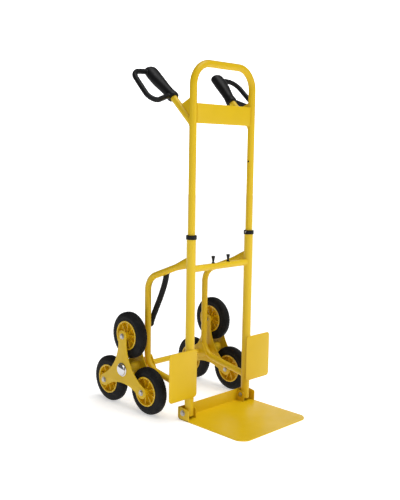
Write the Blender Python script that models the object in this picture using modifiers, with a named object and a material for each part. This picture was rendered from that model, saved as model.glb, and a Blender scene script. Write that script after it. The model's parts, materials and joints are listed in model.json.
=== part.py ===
"""Stair-climbing folding hand truck.

A telescopic mast stands on a welded chassis.  A toe plate folds up in front, a cluster of three wheels
turns on each end of the rear axle, and two D-handles point up and back from the mast.

Lengths are metres.  +Z is up, the toe plate points to -Y and the wheels lie at +Y.  Left is -X.
Everything below is measured from the plane of the mast tubes and from the floor; TRUCK_ORIGIN then
moves the whole truck so that its origin is the bottom centre of its box.
"""
import math

import bmesh
import bpy
from mathutils import Vector

# ---- Fits ------------------------------------------------------------------
GAP = 0.0003                 # between pieces that touch, are welded or are pressed together
RUNNING = 0.0006             # round a pin that turns or slides
SIDE_PLAY = 0.0008           # end play of a part that turns between two faces
OVERLAP = 0.0004             # how far shapes that are joined into one piece stand into each other

# ---- Mast --------------------------------------------------------------------
MAST_WIDTH = 0.277           # left tube to right tube, centre to centre
LOWER_TUBE_OD = 0.030
LOWER_TUBE_BOTTOM = 0.014
LOWER_TUBE_TOP = 0.600
UPPER_TUBE_OD = 0.024
TUBE_WALL = 0.0015
MAST_HEIGHT = 1.1657         # floor to the top of the loop
MAST_CORNER = 0.070          # bend radius of the loop, at the tube's centre
MAST_TRAVEL = 0.241
MAST_INSERTED = 0.146        # upper tube left inside the lower tube at full height

# ---- Collars, lock buttons, name plate ----------------------------------------
COLLAR_WALL = 0.0022         # round the lower tube
COLLAR_HEIGHT = 0.014
COLLAR_ABOVE = 0.011         # how far the collar stands above the lower tube
BUTTON_OD = 0.005
BUTTON_PROUD = 0.0022
PLATE_HEIGHT = 0.063
PLATE_MIDDLE = 0.9965
PLATE_SETBACK = -0.005
PLATE_THICKNESS = 0.002

# ---- Cross tube and hook posts ---------------------------------------------------
CROSS_TUBE_OD = 0.022
CROSS_TUBE_HEIGHT = 0.500
POST_SPACING = 0.072
POST_HEIGHT = 0.024
POST_TOP_OD = 0.0128
POST_WAIST_OD = 0.0066

# ---- Rear frame -----------------------------------------------------------------------
FRAME_TUBE_OD = 0.022
FRAME_BACK = 0.209           # mast plane to the upright
FRAME_BEND = 0.060
FRAME_TOP_AT_MAST = 0.525
FRAME_TOP_CORNER = 0.445
FRAME_LOW_CORNER = 0.1325
FRAME_LOW_AT_MAST = 0.096
FLAT_END_LENGTH = 0.075      # the upper end is pressed flat over this length
FLAT_END_NARROW = 0.62       # width left across the flattened end
FLAT_END_TALL = 1.60         # height gained by it

# ---- Axle and clusters --------------------------------------------------------------------
AXLE_BACK = 0.2268
WHEEL_RADIUS = 0.080
ARM_RADIUS = 0.1154          # axle to wheel bolt
ARMS = 3
WHEEL_OFFSET = 0.0651        # middle of the wheels, outward from the mast tube
STAR_SPACE = 0.0620          # between the two star plates
STAR_PLATE = 0.003
STAR_TIP_RADIUS = 0.0205
STAR_WAIST = 0.047           # axle to the hollow between two arms
AXLE_ROD_OD = 0.012
AXLE_TUBE_OD = 0.0195
AXLE_TUBE_WALL = 0.0025
AXLE_TUBE_PAST_FRAME = 0.0116  # beyond the middle of the frame tube
BARREL_OD = 0.036
BARREL_END = 0.008
BARREL_WALL = 0.003
BRACKET_THICKNESS = 0.004
BRACKET_RIM = 0.009
CAP_OD = 0.0465
CAP_HEIGHT = 0.012
CAP_WALL = 0.0014

# ---- Wheels -----------------------------------------------------------------------------------
TYRE_WIDTH = 0.035
RIM_RADIUS = 0.050
RIM_WIDTH = 0.0370
RIM_FLANGE = 0.0055
RIM_WEB = 0.006
WHEEL_HUB_OD = 0.024
BOLT_OD = 0.008
BOLT_HEAD_OD = 0.0195
BOLT_HEAD = 0.005
BOLT_NUT_OD = 0.0165

# ---- Side guards ---------------------------------------------------------------------------------
GUARD_LAP = 0.0165           # how far it reaches inward past the middle of the mast tube
GUARD_WIDTH = 0.122
GUARD_BOTTOM = 0.078
GUARD_TOP = 0.238
GUARD_THICKNESS = 0.0025
GUARD_CORNER = 0.012

# ---- Toe plate ------------------------------------------------------------------------------------
TOE_REACH = 0.2632           # mast plane to the front edge
EAR_CLEARANCE = 0.0069       # between the lower tube and the outer ear
TOE_THICKNESS = 0.003
TOE_CORNER = 0.030
TOE_WALL_CLEARANCE = 0.0048  # between the lower tube and the rear wall
TOE_WALL_THICKNESS = 0.0022
TOE_WALL_TOP = 0.0435
TOE_EAR = 0.003
TOE_LUG = 0.0025
TOE_PIVOT_BACK = 0.003
TOE_PIVOT_HEIGHT = 0.025
LUG_CLEARANCE = 0.003        # between the lower tube and the inner lug

# ---- Handles ----------------------------------------------------------------------------------------
HANDLE_TUBE_OD = 0.0225
HANDLE_FOOT = 0.961          # where its centre line leaves the mast
HANDLE_ANGLE = math.radians(43.5)
GRIP_START = 0.1235          # along the handle from the mast to the grip
GRIP_SOCKET_DEPTH = 0.036
# Oval sections of the grip: (from its lower end, shift away from the mast, half width, half thickness).
GRIP_SECTIONS = (
    (0.000, 0.0000, 0.0175, 0.0170), (0.004, 0.0000, 0.0195, 0.0185), (0.014, 0.0010, 0.0195, 0.0180),
    (0.026, 0.0035, 0.0185, 0.0162), (0.045, 0.0080, 0.0200, 0.0165), (0.080, 0.0145, 0.0245, 0.0182),
    (0.110, 0.0170, 0.0258, 0.0185), (0.131, 0.0175, 0.0248, 0.0170), (0.137, 0.0175, 0.0198, 0.0120))
GUARD_BAR_OD = 0.0172
GUARD_REACH = 0.113          # handle tube to the middle of the guard bar
GUARD_DROP = 0.032           # how far its lower corner reaches below the grip's lower end
GUSSET_TOP = 1.052
GUSSET_REACH = 0.050
GUSSET_THICKNESS = 0.004

# ---- Load strap -----------------------------------------------------------------------------------------
STRAP_OD = 0.020
STRAP_SOCKET_OD = 0.022
STRAP_SOCKET_LENGTH = 0.012
# Chosen by hand: (behind the mast plane, above the floor), from the upper socket to the lower one.
STRAP_ROUTE = ((0.1405, 0.4655), (0.1436, 0.4500), (0.1493, 0.4310), (0.1583, 0.4080), (0.1700, 0.3820),
               (0.1835, 0.3550), (0.1975, 0.3275), (0.2100, 0.3020), (0.2175, 0.2850))

# ---- How finely round shapes are divided; multiples of four, so that a side's flats line up ----------------
TUBE_SIDES = 20
SMALL_SIDES = 12
WHEEL_SIDES = 20
STAR_ARC_STEPS = 6

# ---- Worked out from the sizes above ---------------------------------------------------------------------
MAST_X = MAST_WIDTH / 2
LOWER_R = LOWER_TUBE_OD / 2
UPPER_R = UPPER_TUBE_OD / 2
FRAME_R = FRAME_TUBE_OD / 2
CROSS_R = CROSS_TUBE_OD / 2
STRUT_R = HANDLE_TUBE_OD / 2
ARM_STEP = 2 * math.pi / ARMS
AXLE_HEIGHT = WHEEL_RADIUS + ARM_RADIUS * math.cos(ARM_STEP / 2)
REAR_REACH = AXLE_BACK + ARM_RADIUS * math.sin(ARM_STEP / 2) + WHEEL_RADIUS
TRUCK_ORIGIN = Vector((0, (TOE_REACH - REAR_REACH) / 2, 0))
COLLAR_TOP = LOWER_TUBE_TOP + COLLAR_ABOVE
BUTTON_HEIGHT = LOWER_TUBE_TOP + COLLAR_ABOVE / 2
COLLAR_OD = LOWER_TUBE_OD + 2 * (GAP + COLLAR_WALL)
TOE_WALL_FACE = LOWER_R + TOE_WALL_CLEARANCE
TOE_HALF_WIDTH = MAST_X + LOWER_R + EAR_CLEARANCE + TOE_EAR
WHEEL_CENTRE = MAST_X + WHEEL_OFFSET
STAR_INNER_FACE = WHEEL_CENTRE - STAR_SPACE / 2
STAR_OUTER_FACE = WHEEL_CENTRE + STAR_SPACE / 2
AXLE_TUBE_END = MAST_X + AXLE_TUBE_PAST_FRAME
BARREL_START = AXLE_TUBE_END + SIDE_PLAY
CAP_SEAT = STAR_OUTER_FACE + STAR_PLATE + SIDE_PLAY
STRAP_X = -(MAST_X - FRAME_R - GAP - STRAP_SOCKET_OD / 2)
HANDLE_DIRECTION = Vector((0, math.cos(HANDLE_ANGLE), math.sin(HANDLE_ANGLE)))
HANDLE_UP = Vector((0, -math.sin(HANDLE_ANGLE), math.cos(HANDLE_ANGLE)))

SIDES = {"left": -1, "right": 1}
FACING_X = (math.pi / 2, 0, math.pi / 2)      # a flat drawing whose x and y become Y and Z
FACING_Y = (math.pi / 2, 0, 0)                # a flat drawing whose x and y become X and Z

# colour, roughness, metallic
FINISHES = {
    "yellow_powder_coat": ((0.73, 0.46, 0.022), 0.38, 0.0),
    "yellow_plastic": ((0.70, 0.36, 0.012), 0.42, 0.0),
    "tyre_rubber": ((0.018, 0.018, 0.019), 0.75, 0.0),
    "black_plastic": ((0.016, 0.016, 0.017), 0.45, 0.0),
    "black_elastic": ((0.012, 0.012, 0.013), 0.80, 0.0),
    "zinc_steel": ((0.62, 0.60, 0.58), 0.35, 1.0),
    "chrome": ((0.80, 0.80, 0.82), 0.08, 1.0),
}


FINISH_OF = {}               # node: finish, filled in as the nodes are made

# ---- Helpers ---------------------------------------------------------------------------------------------
def clear_scene():
    for item in list(bpy.data.objects):
        bpy.data.objects.remove(item, do_unlink=True)


def new_collection(name):
    collection = bpy.data.collections.new(name)
    bpy.context.scene.collection.children.link(collection)
    return collection


clear_scene()
TRUCK = new_collection("stair_hand_truck")
CUTTERS = new_collection("cutters")


def finish(name):
    """One Principled material for one node."""
    kind = FINISH_OF[name]
    colour, roughness, metallic = FINISHES[kind]
    material = bpy.data.materials.new(name + "_" + kind)
    material.use_nodes = True
    shader = material.node_tree.nodes["Principled BSDF"]
    shader.inputs["Base Color"].default_value = (*colour, 1)
    shader.inputs["Roughness"].default_value = roughness
    shader.inputs["Metallic"].default_value = metallic
    return material


def guide(name, parent=None, at=(0, 0, 0)):
    """An empty that carries other pieces."""
    empty = bpy.data.objects.new(name, None)
    TRUCK.objects.link(empty)
    empty.parent = parent
    empty.location = at
    return empty


ORIGIN = guide("truck_origin", at=TRUCK_ORIGIN)


def place(name, mesh, kind, parent=None, at=(0, 0, 0), turn=(0, 0, 0)):
    """Put a mesh into the truck as the node of that name."""
    item = bpy.data.objects.new(name, mesh)
    TRUCK.objects.link(item)
    item.parent = parent or ORIGIN
    item.location = at
    item.rotation_euler = turn
    FINISH_OF[name] = kind
    mesh.materials.clear()
    mesh.materials.append(finish(name))
    mesh.shade_smooth()
    mesh.set_sharp_from_angle(angle=math.radians(35))
    return item


def place_cutter(name, mesh, at=(0, 0, 0), turn=(0, 0, 0)):
    item = bpy.data.objects.new(name, mesh)
    CUTTERS.objects.link(item)
    item.parent = ORIGIN
    item.location = at
    item.rotation_euler = turn
    item.hide_render = True
    item.display_type = "WIRE"
    return item


def combine(item, other, operation):
    change = item.modifiers.new(operation.lower() + "_" + other.name, "BOOLEAN")
    change.operation = operation
    change.solver = "EXACT"
    change.object = other


def cut(item, cutter):
    combine(item, cutter, "DIFFERENCE")


def join(item, other):
    combine(item, other, "UNION")


def mesh_from(name, build):
    """A mesh made by build(bm)."""
    shape = bmesh.new()
    build(shape)
    mesh = bpy.data.meshes.new(name)
    shape.to_mesh(mesh)
    shape.free()
    return mesh


def box_mesh(name, size):
    def build(shape):
        bmesh.ops.create_cube(shape, size=1)
        bmesh.ops.scale(shape, vec=size, verts=shape.verts)
    return mesh_from(name, build)


def cylinder_mesh(name, radius, length, sides=TUBE_SIDES):
    """A plain cylinder along Z, centred."""
    def build(shape):
        bmesh.ops.create_cone(shape, cap_ends=True, segments=sides, radius1=radius, radius2=radius,
                              depth=length)
    return mesh_from(name, build)


def turned(name, profile, kind, ring=True, steps=SMALL_SIDES, **where):
    """A turned shape about its own Z: (radius, height) pairs run down the outer side, top to bottom."""
    count = len(profile)
    edges = [(k, k + 1) for k in range(count - 1)]
    if ring:
        edges.append((count - 1, 0))
    mesh = bpy.data.meshes.new(name)
    mesh.from_pydata([(radius, 0, height) for radius, height in profile], edges, [])
    item = place(name, mesh, kind, **where)
    screw = item.modifiers.new("turn", "SCREW")
    screw.axis = "Z"
    screw.steps = steps
    screw.render_steps = steps
    screw.use_merge_vertices = True
    screw.merge_threshold = 0.00001
    screw.use_smooth_shade = True
    return item


def rounded(corners, radii, steps, closed):
    """The corners as a line with an arc in each corner that has a radius."""
    corners = [Vector(corner) for corner in corners]
    count = len(corners)
    line = []
    for k, (here, radius) in enumerate(zip(corners, radii)):
        if radius <= 0 or (not closed and k in (0, count - 1)):
            line.append(here)
            continue
        back = (corners[k - 1] - here).normalized()
        ahead = (corners[(k + 1) % count] - here).normalized()
        half = back.angle(ahead) / 2
        centre = here + (back + ahead).normalized() * (radius / math.sin(half))
        start = here + back * (radius / math.tan(half)) - centre
        end = here + ahead * (radius / math.tan(half)) - centre
        sweep = start.angle(end)
        for step in range(steps + 1):
            part = step / steps
            line.append(centre + (start * math.sin((1 - part) * sweep) + end * math.sin(part * sweep))
                        / math.sin(sweep))
    return line


def circle(radius, centre=(0, 0), sides=SMALL_SIDES):
    return [(centre[0] + radius * math.cos(2 * math.pi * k / sides),
             centre[1] + radius * math.sin(2 * math.pi * k / sides)) for k in range(sides)]


def curve_to_mesh(name, curve):
    """The curve's evaluated mesh with its caps welded; the curve itself goes."""
    holder = bpy.data.objects.new(name + "_curve", curve)
    TRUCK.objects.link(holder)
    graph = bpy.context.evaluated_depsgraph_get()
    mesh = bpy.data.meshes.new_from_object(holder.evaluated_get(graph))
    mesh.name = name
    bpy.data.objects.remove(holder, do_unlink=True)
    bpy.data.curves.remove(curve)
    shape = bmesh.new()
    shape.from_mesh(mesh)
    bmesh.ops.remove_doubles(shape, verts=shape.verts, dist=0.000001)
    shape.to_mesh(mesh)
    shape.free()
    return mesh


def add_line(curve, points, closed):
    spline = curve.splines.new("POLY")
    spline.points.add(len(points) - 1)
    for point, place_in_line in zip(points, spline.points):
        place_in_line.co = (*Vector(point).to_3d(), 1)
    spline.use_cyclic_u = closed


def plate_mesh(name, outline, thickness, holes=()):
    """A flat plate drawn in its own X and Y, half its thickness to each side."""
    curve = bpy.data.curves.new(name, "CURVE")
    curve.dimensions = "2D"
    curve.fill_mode = "BOTH"
    curve.extrude = thickness / 2
    for line in (outline, *holes):
        add_line(curve, line, closed=True)
    return curve_to_mesh(name, curve)


def rod_mesh(name, points, radius, sides=12, capped=True):
    """A round bar or the outer skin of a tube along the points."""
    curve = bpy.data.curves.new(name, "CURVE")
    curve.dimensions = "3D"
    curve.bevel_depth = radius
    curve.bevel_resolution = (sides - 4) // 2
    curve.use_fill_caps = capped
    add_line(curve, points, closed=False)
    return curve_to_mesh(name, curve)


def hollow(item, wall):
    shell = item.modifiers.new("tube_wall", "SOLIDIFY")
    shell.thickness = wall
    shell.offset = -1
    shell.use_even_offset = True


def straight_tube(name, radius, wall, low, high, kind, steps=TUBE_SIDES, **where):
    inner = radius - wall
    profile = ((radius, high), (radius, low), (inner, low), (inner, high))
    return turned(name, profile, kind, steps=steps, **where)


def across(side):
    """Turns a piece's own Z to point away from the middle of the truck."""
    return (0, side * math.pi / 2, 0)


# ---- Cutters that more than one piece needs --------------------------------------------------------------
def mast_cutters():
    lower = {}
    upper = {}
    for name, side in SIDES.items():
        tall = LOWER_TUBE_TOP - LOWER_TUBE_BOTTOM
        mesh = cylinder_mesh("lower_tube_space_" + name, LOWER_R + GAP, tall)
        middle = LOWER_TUBE_BOTTOM + tall / 2
        lower[name] = place_cutter(mesh.name, mesh, at=(side * MAST_X, 0, middle))
        tall = MAST_HEIGHT - COLLAR_TOP
        mesh = cylinder_mesh("upper_tube_space_" + name, UPPER_R + GAP, tall)
        upper[name] = place_cutter(mesh.name, mesh, at=(side * MAST_X, 0, COLLAR_TOP + tall / 2))
    return lower, upper


# ---- Chassis ----------------------------------------------------------------------------------------------
def lower_tubes():
    for name, side in SIDES.items():
        tube = straight_tube("lower_mast_tube_" + name, LOWER_R, TUBE_WALL, LOWER_TUBE_BOTTOM, LOWER_TUBE_TOP,
                             "yellow_powder_coat", at=(side * MAST_X, 0, 0))
        mesh = cylinder_mesh("pivot_hole_" + name, BOLT_OD / 2 + GAP, LOWER_TUBE_OD * 1.2, sides=SMALL_SIDES)
        cut(tube, place_cutter(mesh.name, mesh, at=(side * MAST_X, TOE_PIVOT_BACK, TOE_PIVOT_HEIGHT),
                               turn=across(side)))


def cross_tube(spaces):
    tube = straight_tube("cross_tube", CROSS_R, TUBE_WALL, -MAST_X, MAST_X, "yellow_powder_coat",
                         steps=SMALL_SIDES, at=(0, 0, CROSS_TUBE_HEIGHT), turn=across(1))
    for space in spaces.values():
        cut(tube, space)


def hook_posts():
    waist = POST_WAIST_OD / 2
    top = POST_TOP_OD / 2
    foot = waist * 1.8
    flange = POST_HEIGHT * 0.06
    profile = ((0, POST_HEIGHT), (top * 0.86, POST_HEIGHT), (top, POST_HEIGHT * 0.94),
               (top * 0.92, POST_HEIGHT * 0.8), (waist * 1.25, POST_HEIGHT * 0.5), (waist, POST_HEIGHT * 0.2),
               (foot, flange), (foot, 0), (0, 0))
    for name, side in SIDES.items():
        turned("hook_post_" + name, profile, "black_plastic", ring=False,
               at=(side * POST_SPACING / 2, 0, CROSS_TUBE_HEIGHT + CROSS_R + GAP))


def flatten_upper_end(mesh, start):
    """Press the tube flat, across X, over the last stretch before the mast."""
    run = Vector((FRAME_BACK, FRAME_TOP_CORNER - FRAME_TOP_AT_MAST)).normalized()
    for corner in mesh.vertices:
        along = (Vector((corner.co.y, corner.co.z)) - start).dot(run)
        if corner.co.z < FRAME_TOP_CORNER or along > FLAT_END_LENGTH:
            continue
        amount = 1 - max(along, 0) / FLAT_END_LENGTH
        amount = amount * amount * (3 - 2 * amount)
        centre = start + run * along
        rise = Vector((corner.co.y, corner.co.z)) - centre
        rise *= 1 + (FLAT_END_TALL - 1) * amount
        corner.co.y = centre.x + rise.x
        corner.co.z = centre.y + rise.y
        corner.co.x *= 1 + (FLAT_END_NARROW - 1) * amount


def rear_frames(spaces):
    corners = ((0, FRAME_TOP_AT_MAST), (FRAME_BACK, FRAME_TOP_CORNER), (FRAME_BACK, FRAME_LOW_CORNER),
               (0, FRAME_LOW_AT_MAST))
    line = rounded([(0, y, z) for y, z in corners], (0, FRAME_BEND, FRAME_BEND, 0), 5, closed=False)
    flat_start = Vector(corners[0])
    run = (line[1] - line[0]).normalized()
    flat_stations = [line[0] + run * (FLAT_END_LENGTH * part) for part in (0.3, 0.65, 1.0)]
    line = line[:1] + flat_stations + line[1:]
    for name, side in SIDES.items():
        mesh = rod_mesh("rear_frame_" + name, line, FRAME_R, sides=SMALL_SIDES, capped=False)
        flatten_upper_end(mesh, flat_start)
        tube = place(mesh.name, mesh, "yellow_powder_coat", at=(side * MAST_X, 0, 0))
        hollow(tube, TUBE_WALL)
        cut(tube, spaces[name])


def axle_parts():
    straight_tube("axle_tube", AXLE_TUBE_OD / 2, AXLE_TUBE_WALL, -AXLE_TUBE_END, AXLE_TUBE_END,
                  "yellow_powder_coat", steps=SMALL_SIDES, at=(0, AXLE_BACK, AXLE_HEIGHT), turn=across(1))
    rod_end = CAP_SEAT + CAP_HEIGHT * 0.6
    radius = AXLE_ROD_OD / 2
    profile = ((0, rod_end), (radius, rod_end), (radius, -rod_end), (0, -rod_end))
    turned("axle_rod", profile, "zinc_steel", ring=False, at=(0, AXLE_BACK, AXLE_HEIGHT), turn=across(1))
    for name, side in SIDES.items():
        axle_bracket(name, side)
        hub_cap(name, side)


def axle_bracket(name, side):
    """A plate on the inner face of the rear frame, from its lower bend to the axle tube."""
    hole = AXLE_TUBE_OD / 2 + GAP
    rim = hole + BRACKET_RIM
    corners = ((AXLE_BACK + rim, AXLE_HEIGHT - rim), (AXLE_BACK + rim, AXLE_HEIGHT + rim),
               (FRAME_BACK + FRAME_R / 2, AXLE_HEIGHT + 2 * rim),
               (FRAME_BACK - FRAME_R / 2, AXLE_HEIGHT + 2 * rim),
               (FRAME_BACK - FRAME_BEND / 2, FRAME_LOW_CORNER), (AXLE_BACK - rim, AXLE_HEIGHT - rim))
    outline = rounded(corners, (rim * 0.8, rim * 0.8, 0.005, 0.005, 0.005, 0.012), 4, closed=True)
    mesh = plate_mesh("axle_bracket_" + name, outline, BRACKET_THICKNESS,
                      holes=[circle(hole, (AXLE_BACK, AXLE_HEIGHT))])
    middle = MAST_X - FRAME_R - GAP - BRACKET_THICKNESS / 2
    place(mesh.name, mesh, "yellow_powder_coat", at=(side * middle, 0, 0), turn=FACING_X)


def hub_cap(name, side):
    """A domed cap, pressed on the end of the axle rod."""
    outer = CAP_OD / 2
    inner = outer - CAP_WALL
    grip = AXLE_ROD_OD / 2 + GAP
    dome = [(outer * math.cos(angle), CAP_WALL + (CAP_HEIGHT - CAP_WALL) * math.sin(angle))
            for angle in (math.radians(90 - 22.5 * k) for k in range(5))]
    hollow_side = [(inner * math.cos(angle), CAP_WALL + (CAP_HEIGHT - 2 * CAP_WALL) * math.sin(angle))
                   for angle in (math.radians(30 * k) for k in range(3))]
    dome[0] = (0, CAP_HEIGHT)
    profile = dome + [(outer, 0), (grip, 0), (grip, CAP_WALL)] + hollow_side
    profile.append((0, CAP_HEIGHT - CAP_WALL))
    turned("hub_cap_" + name, profile, "chrome", ring=False,
           at=(side * CAP_SEAT, AXLE_BACK, AXLE_HEIGHT), turn=across(side))


def side_guards():
    middle = MAST_X - GUARD_LAP + GUARD_WIDTH / 2
    half = GUARD_WIDTH / 2
    corners = ((-half, GUARD_BOTTOM), (half, GUARD_BOTTOM), (half, GUARD_TOP), (-half, GUARD_TOP))
    outline = rounded(corners, [GUARD_CORNER] * 4, 4, closed=True)
    for name, side in SIDES.items():
        mesh = plate_mesh("side_guard_" + name, outline, GUARD_THICKNESS)
        place(mesh.name, mesh, "yellow_powder_coat",
              at=(side * middle, -(LOWER_R + GAP + GUARD_THICKNESS / 2), 0), turn=FACING_Y)


def collars():
    outer = COLLAR_OD / 2
    seat = LOWER_R + GAP
    bore = UPPER_R + RUNNING
    bottom = COLLAR_TOP - COLLAR_HEIGHT
    ledge = LOWER_TUBE_TOP + GAP
    edge = COLLAR_HEIGHT / 10
    profile = ((outer - edge, COLLAR_TOP), (outer, COLLAR_TOP - edge), (outer, bottom + edge),
               (outer - edge, bottom), (seat, bottom), (seat, ledge), (bore, ledge), (bore, COLLAR_TOP))
    nose = UPPER_R + RUNNING * 1.5
    for name, side in SIDES.items():
        collar = turned("collar_" + name, profile, "black_plastic", steps=TUBE_SIDES,
                        at=(side * MAST_X, 0, 0))
        mesh = cylinder_mesh("button_hole_" + name, BUTTON_OD / 2 + GAP, COLLAR_OD / 2, sides=SMALL_SIDES)
        middle = side * (MAST_X - COLLAR_OD / 4 - nose / 2)
        cut(collar, place_cutter(mesh.name, mesh, at=(middle, 0, BUTTON_HEIGHT), turn=across(side)))
        lock_button(name, side, nose)


def lock_button(name, side, nose):
    """A round button on the inner side of the collar, pressed towards the tube."""
    length = COLLAR_OD / 2 + BUTTON_PROUD - nose
    radius = BUTTON_OD / 2
    profile = ((0, length), (radius * 0.8, length), (radius, length - radius * 0.2), (radius, radius * 0.2),
               (radius * 0.8, 0), (0, 0))
    turned("lock_button_" + name, profile, "zinc_steel", ring=False,
           at=(side * (MAST_X - nose), 0, BUTTON_HEIGHT), turn=across(-side))


def toe_bolts():
    """Pivot bolts: head outside the ear, nut inside the lug."""
    for name, side in SIDES.items():
        outside = TOE_HALF_WIDTH + GAP
        inside = MAST_X - LOWER_R - LUG_CLEARANCE - TOE_LUG - GAP
        bolt("toe_pivot_bolt_" + name, outside, inside, ORIGIN, side,
             at=(0, TOE_PIVOT_BACK, TOE_PIVOT_HEIGHT))


def bolt(name, outside, inside, parent, side, at):
    """Bolt and nut as one solid, along X between the two faces that they clamp."""
    shank = BOLT_OD / 2
    head = BOLT_HEAD_OD / 2
    nut = BOLT_NUT_OD / 2
    top = outside + BOLT_HEAD
    profile = ((0, top), (head * 0.6, top), (head, outside + BOLT_HEAD * 0.45), (head, outside),
               (shank, outside), (shank, inside), (nut, inside), (nut, inside - BOLT_HEAD),
               (0, inside - BOLT_HEAD))
    turned(name, profile, "zinc_steel", ring=False, parent=parent, at=at, turn=across(side))


# ---- Mast ------------------------------------------------------------------------------------------------
def mast_loop():
    foot = LOWER_TUBE_TOP - MAST_INSERTED
    top = MAST_HEIGHT - UPPER_R
    corners = ((-MAST_X, 0, foot), (-MAST_X, 0, top), (MAST_X, 0, top), (MAST_X, 0, foot))
    line = rounded(corners, (0, MAST_CORNER, MAST_CORNER, 0), 6, closed=False)
    mesh = rod_mesh("mast_loop", line, UPPER_R, sides=SMALL_SIDES, capped=False)
    loop = place(mesh.name, mesh, "yellow_powder_coat")
    hollow(loop, TUBE_WALL)
    for name, side in SIDES.items():
        for where, height in (("raised", BUTTON_HEIGHT), ("lowered", BUTTON_HEIGHT + MAST_TRAVEL)):
            drill = cylinder_mesh("lock_hole_%s_%s" % (where, name), BUTTON_OD / 2 + RUNNING, UPPER_R,
                                  sides=SMALL_SIDES)
            inner_face = side * (MAST_X - UPPER_R)
            cut(loop, place_cutter(drill.name, drill, at=(inner_face, 0, height), turn=across(side)))


def name_plate(spaces):
    size = (MAST_WIDTH - UPPER_R, PLATE_THICKNESS, PLATE_HEIGHT)
    plate = place("name_plate", box_mesh("name_plate", size), "yellow_powder_coat",
                  at=(0, PLATE_SETBACK, PLATE_MIDDLE))
    for space in spaces.values():
        cut(plate, space)
    return plate


def along_handle(distance, rise=0.0):
    """A point on the handle's centre line, or that far above it, as (0, y, z)."""
    return Vector((0, 0, HANDLE_FOOT)) + HANDLE_DIRECTION * distance + HANDLE_UP * rise


def handles(spaces, plate):
    lean = (HANDLE_ANGLE - math.pi / 2, 0, 0)
    reach = GRIP_START + GRIP_SOCKET_DEPTH - GAP
    for name, side in SIDES.items():
        foot = Vector((side * MAST_X, 0, HANDLE_FOOT))
        mesh = cylinder_mesh("handle_tube_space_" + name, STRUT_R + GAP, HANDLE_TUBE_OD, sides=SMALL_SIDES)
        cut(plate, place_cutter(mesh.name, mesh, at=foot, turn=lean))
        strut = straight_tube("handle_tube_" + name, STRUT_R, TUBE_WALL, 0, reach, "yellow_powder_coat",
                              steps=SMALL_SIDES, at=foot, turn=lean)
        cut(strut, spaces[name])
        gusset(name, side, spaces[name])
        grip(name, side, lean)


def gusset(name, side, space):
    """A triangular plate that stands in the corner between the handle tube and the mast."""
    clear = STRUT_R + GAP
    per_metre = 1 / math.cos(HANDLE_ANGLE)
    start = along_handle(clear * math.tan(HANDLE_ANGLE) + UPPER_R / 2 * per_metre, clear)
    end = along_handle(clear * math.tan(HANDLE_ANGLE) + GUSSET_REACH * per_metre, clear)
    corners = ((start.y, start.z), (end.y, end.z), (end.y - 0.002, end.z + 0.004), (start.y, GUSSET_TOP))
    mesh = plate_mesh("handle_gusset_" + name, corners, GUSSET_THICKNESS)
    plate = place(mesh.name, mesh, "yellow_powder_coat", at=(side * MAST_X, 0, 0), turn=FACING_X)
    cut(plate, space)


def grip(name, side, lean):
    """A moulded D-grip: an oval handle with a socket for the tube, and a bar that guards the hand."""
    at = Vector((side * MAST_X, 0, 0)) + along_handle(GRIP_START)
    stations = [(0, 0, section[0]) for section in GRIP_SECTIONS]
    mesh = rod_mesh("grip_" + name, stations, 1.0, sides=SMALL_SIDES)
    for corner in mesh.vertices:
        section = min(GRIP_SECTIONS, key=lambda oval: abs(oval[0] - corner.co.z))
        corner.co.x = side * section[1] + corner.co.x * section[2]
        corner.co.y *= section[3]
    handle = place(mesh.name, mesh, "black_plastic", at=at, turn=lean)
    bar = GUARD_BAR_OD / 2
    length = GRIP_SECTIONS[-1][0]
    top = length - bar - 0.0015
    foot = GRIP_SECTIONS[3][2]
    corners = [(side * x, 0, z) for x, z in ((0.012, top), (GUARD_REACH - 0.008, top - 0.009),
                                             (GUARD_REACH, -GUARD_DROP), (foot + 0.008, 0.006), (0, 0.011))]
    line = rounded(corners, (0, 0.040, 0.028, 0.014, 0), 5, closed=False)
    mesh = rod_mesh("guard_bar_" + name, line, bar, sides=8)
    join(handle, place_cutter(mesh.name, mesh, at=at, turn=lean))
    mouth = 0.010
    mesh = cylinder_mesh("grip_bore_" + name, STRUT_R + GAP, GRIP_SOCKET_DEPTH + mouth, sides=SMALL_SIDES)
    middle = (GRIP_SOCKET_DEPTH - mouth) / 2
    cut(handle, place_cutter(mesh.name, mesh, at=at + HANDLE_DIRECTION * middle, turn=lean))


# ---- Toe plate -------------------------------------------------------------------------------------------
def toe_plate(pivot):
    """Deck, rear wall and outer ears, pressed from one sheet."""
    back = TOE_WALL_FACE + TOE_WALL_THICKNESS
    half = TOE_HALF_WIDTH - OVERLAP / 2
    corners = ((-half, -TOE_REACH), (half, -TOE_REACH), (half, back), (-half, back))
    outline = rounded(corners, (TOE_CORNER, TOE_CORNER, 0, 0), 6, closed=True)
    home = -Vector((0, TOE_PIVOT_BACK, TOE_PIVOT_HEIGHT))
    mesh = plate_mesh("toe_plate", outline, TOE_THICKNESS)
    deck = place(mesh.name, mesh, "yellow_powder_coat", parent=pivot,
                 at=home + Vector((0, 0, TOE_THICKNESS / 2)))
    wall_size = (2 * half - OVERLAP, TOE_WALL_THICKNESS, TOE_WALL_TOP - OVERLAP)
    mesh = box_mesh("toe_wall", wall_size)
    middle = (0, TOE_WALL_FACE + TOE_WALL_THICKNESS / 2 - OVERLAP / 2, (TOE_WALL_TOP + OVERLAP) / 2)
    join(deck, place_cutter(mesh.name, mesh, at=middle))
    for name, side in SIDES.items():
        mesh = plate_mesh("toe_ear_" + name, ear_outline(OVERLAP, 0.045), TOE_EAR,
                          holes=[circle(BOLT_OD / 2 + GAP, (TOE_PIVOT_BACK, TOE_PIVOT_HEIGHT))])
        ear = place_cutter(mesh.name, mesh, at=(side * (TOE_HALF_WIDTH - TOE_EAR / 2), 0, 0), turn=FACING_X)
        join(deck, ear)
        toe_lug(name, side, pivot, home)


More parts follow.
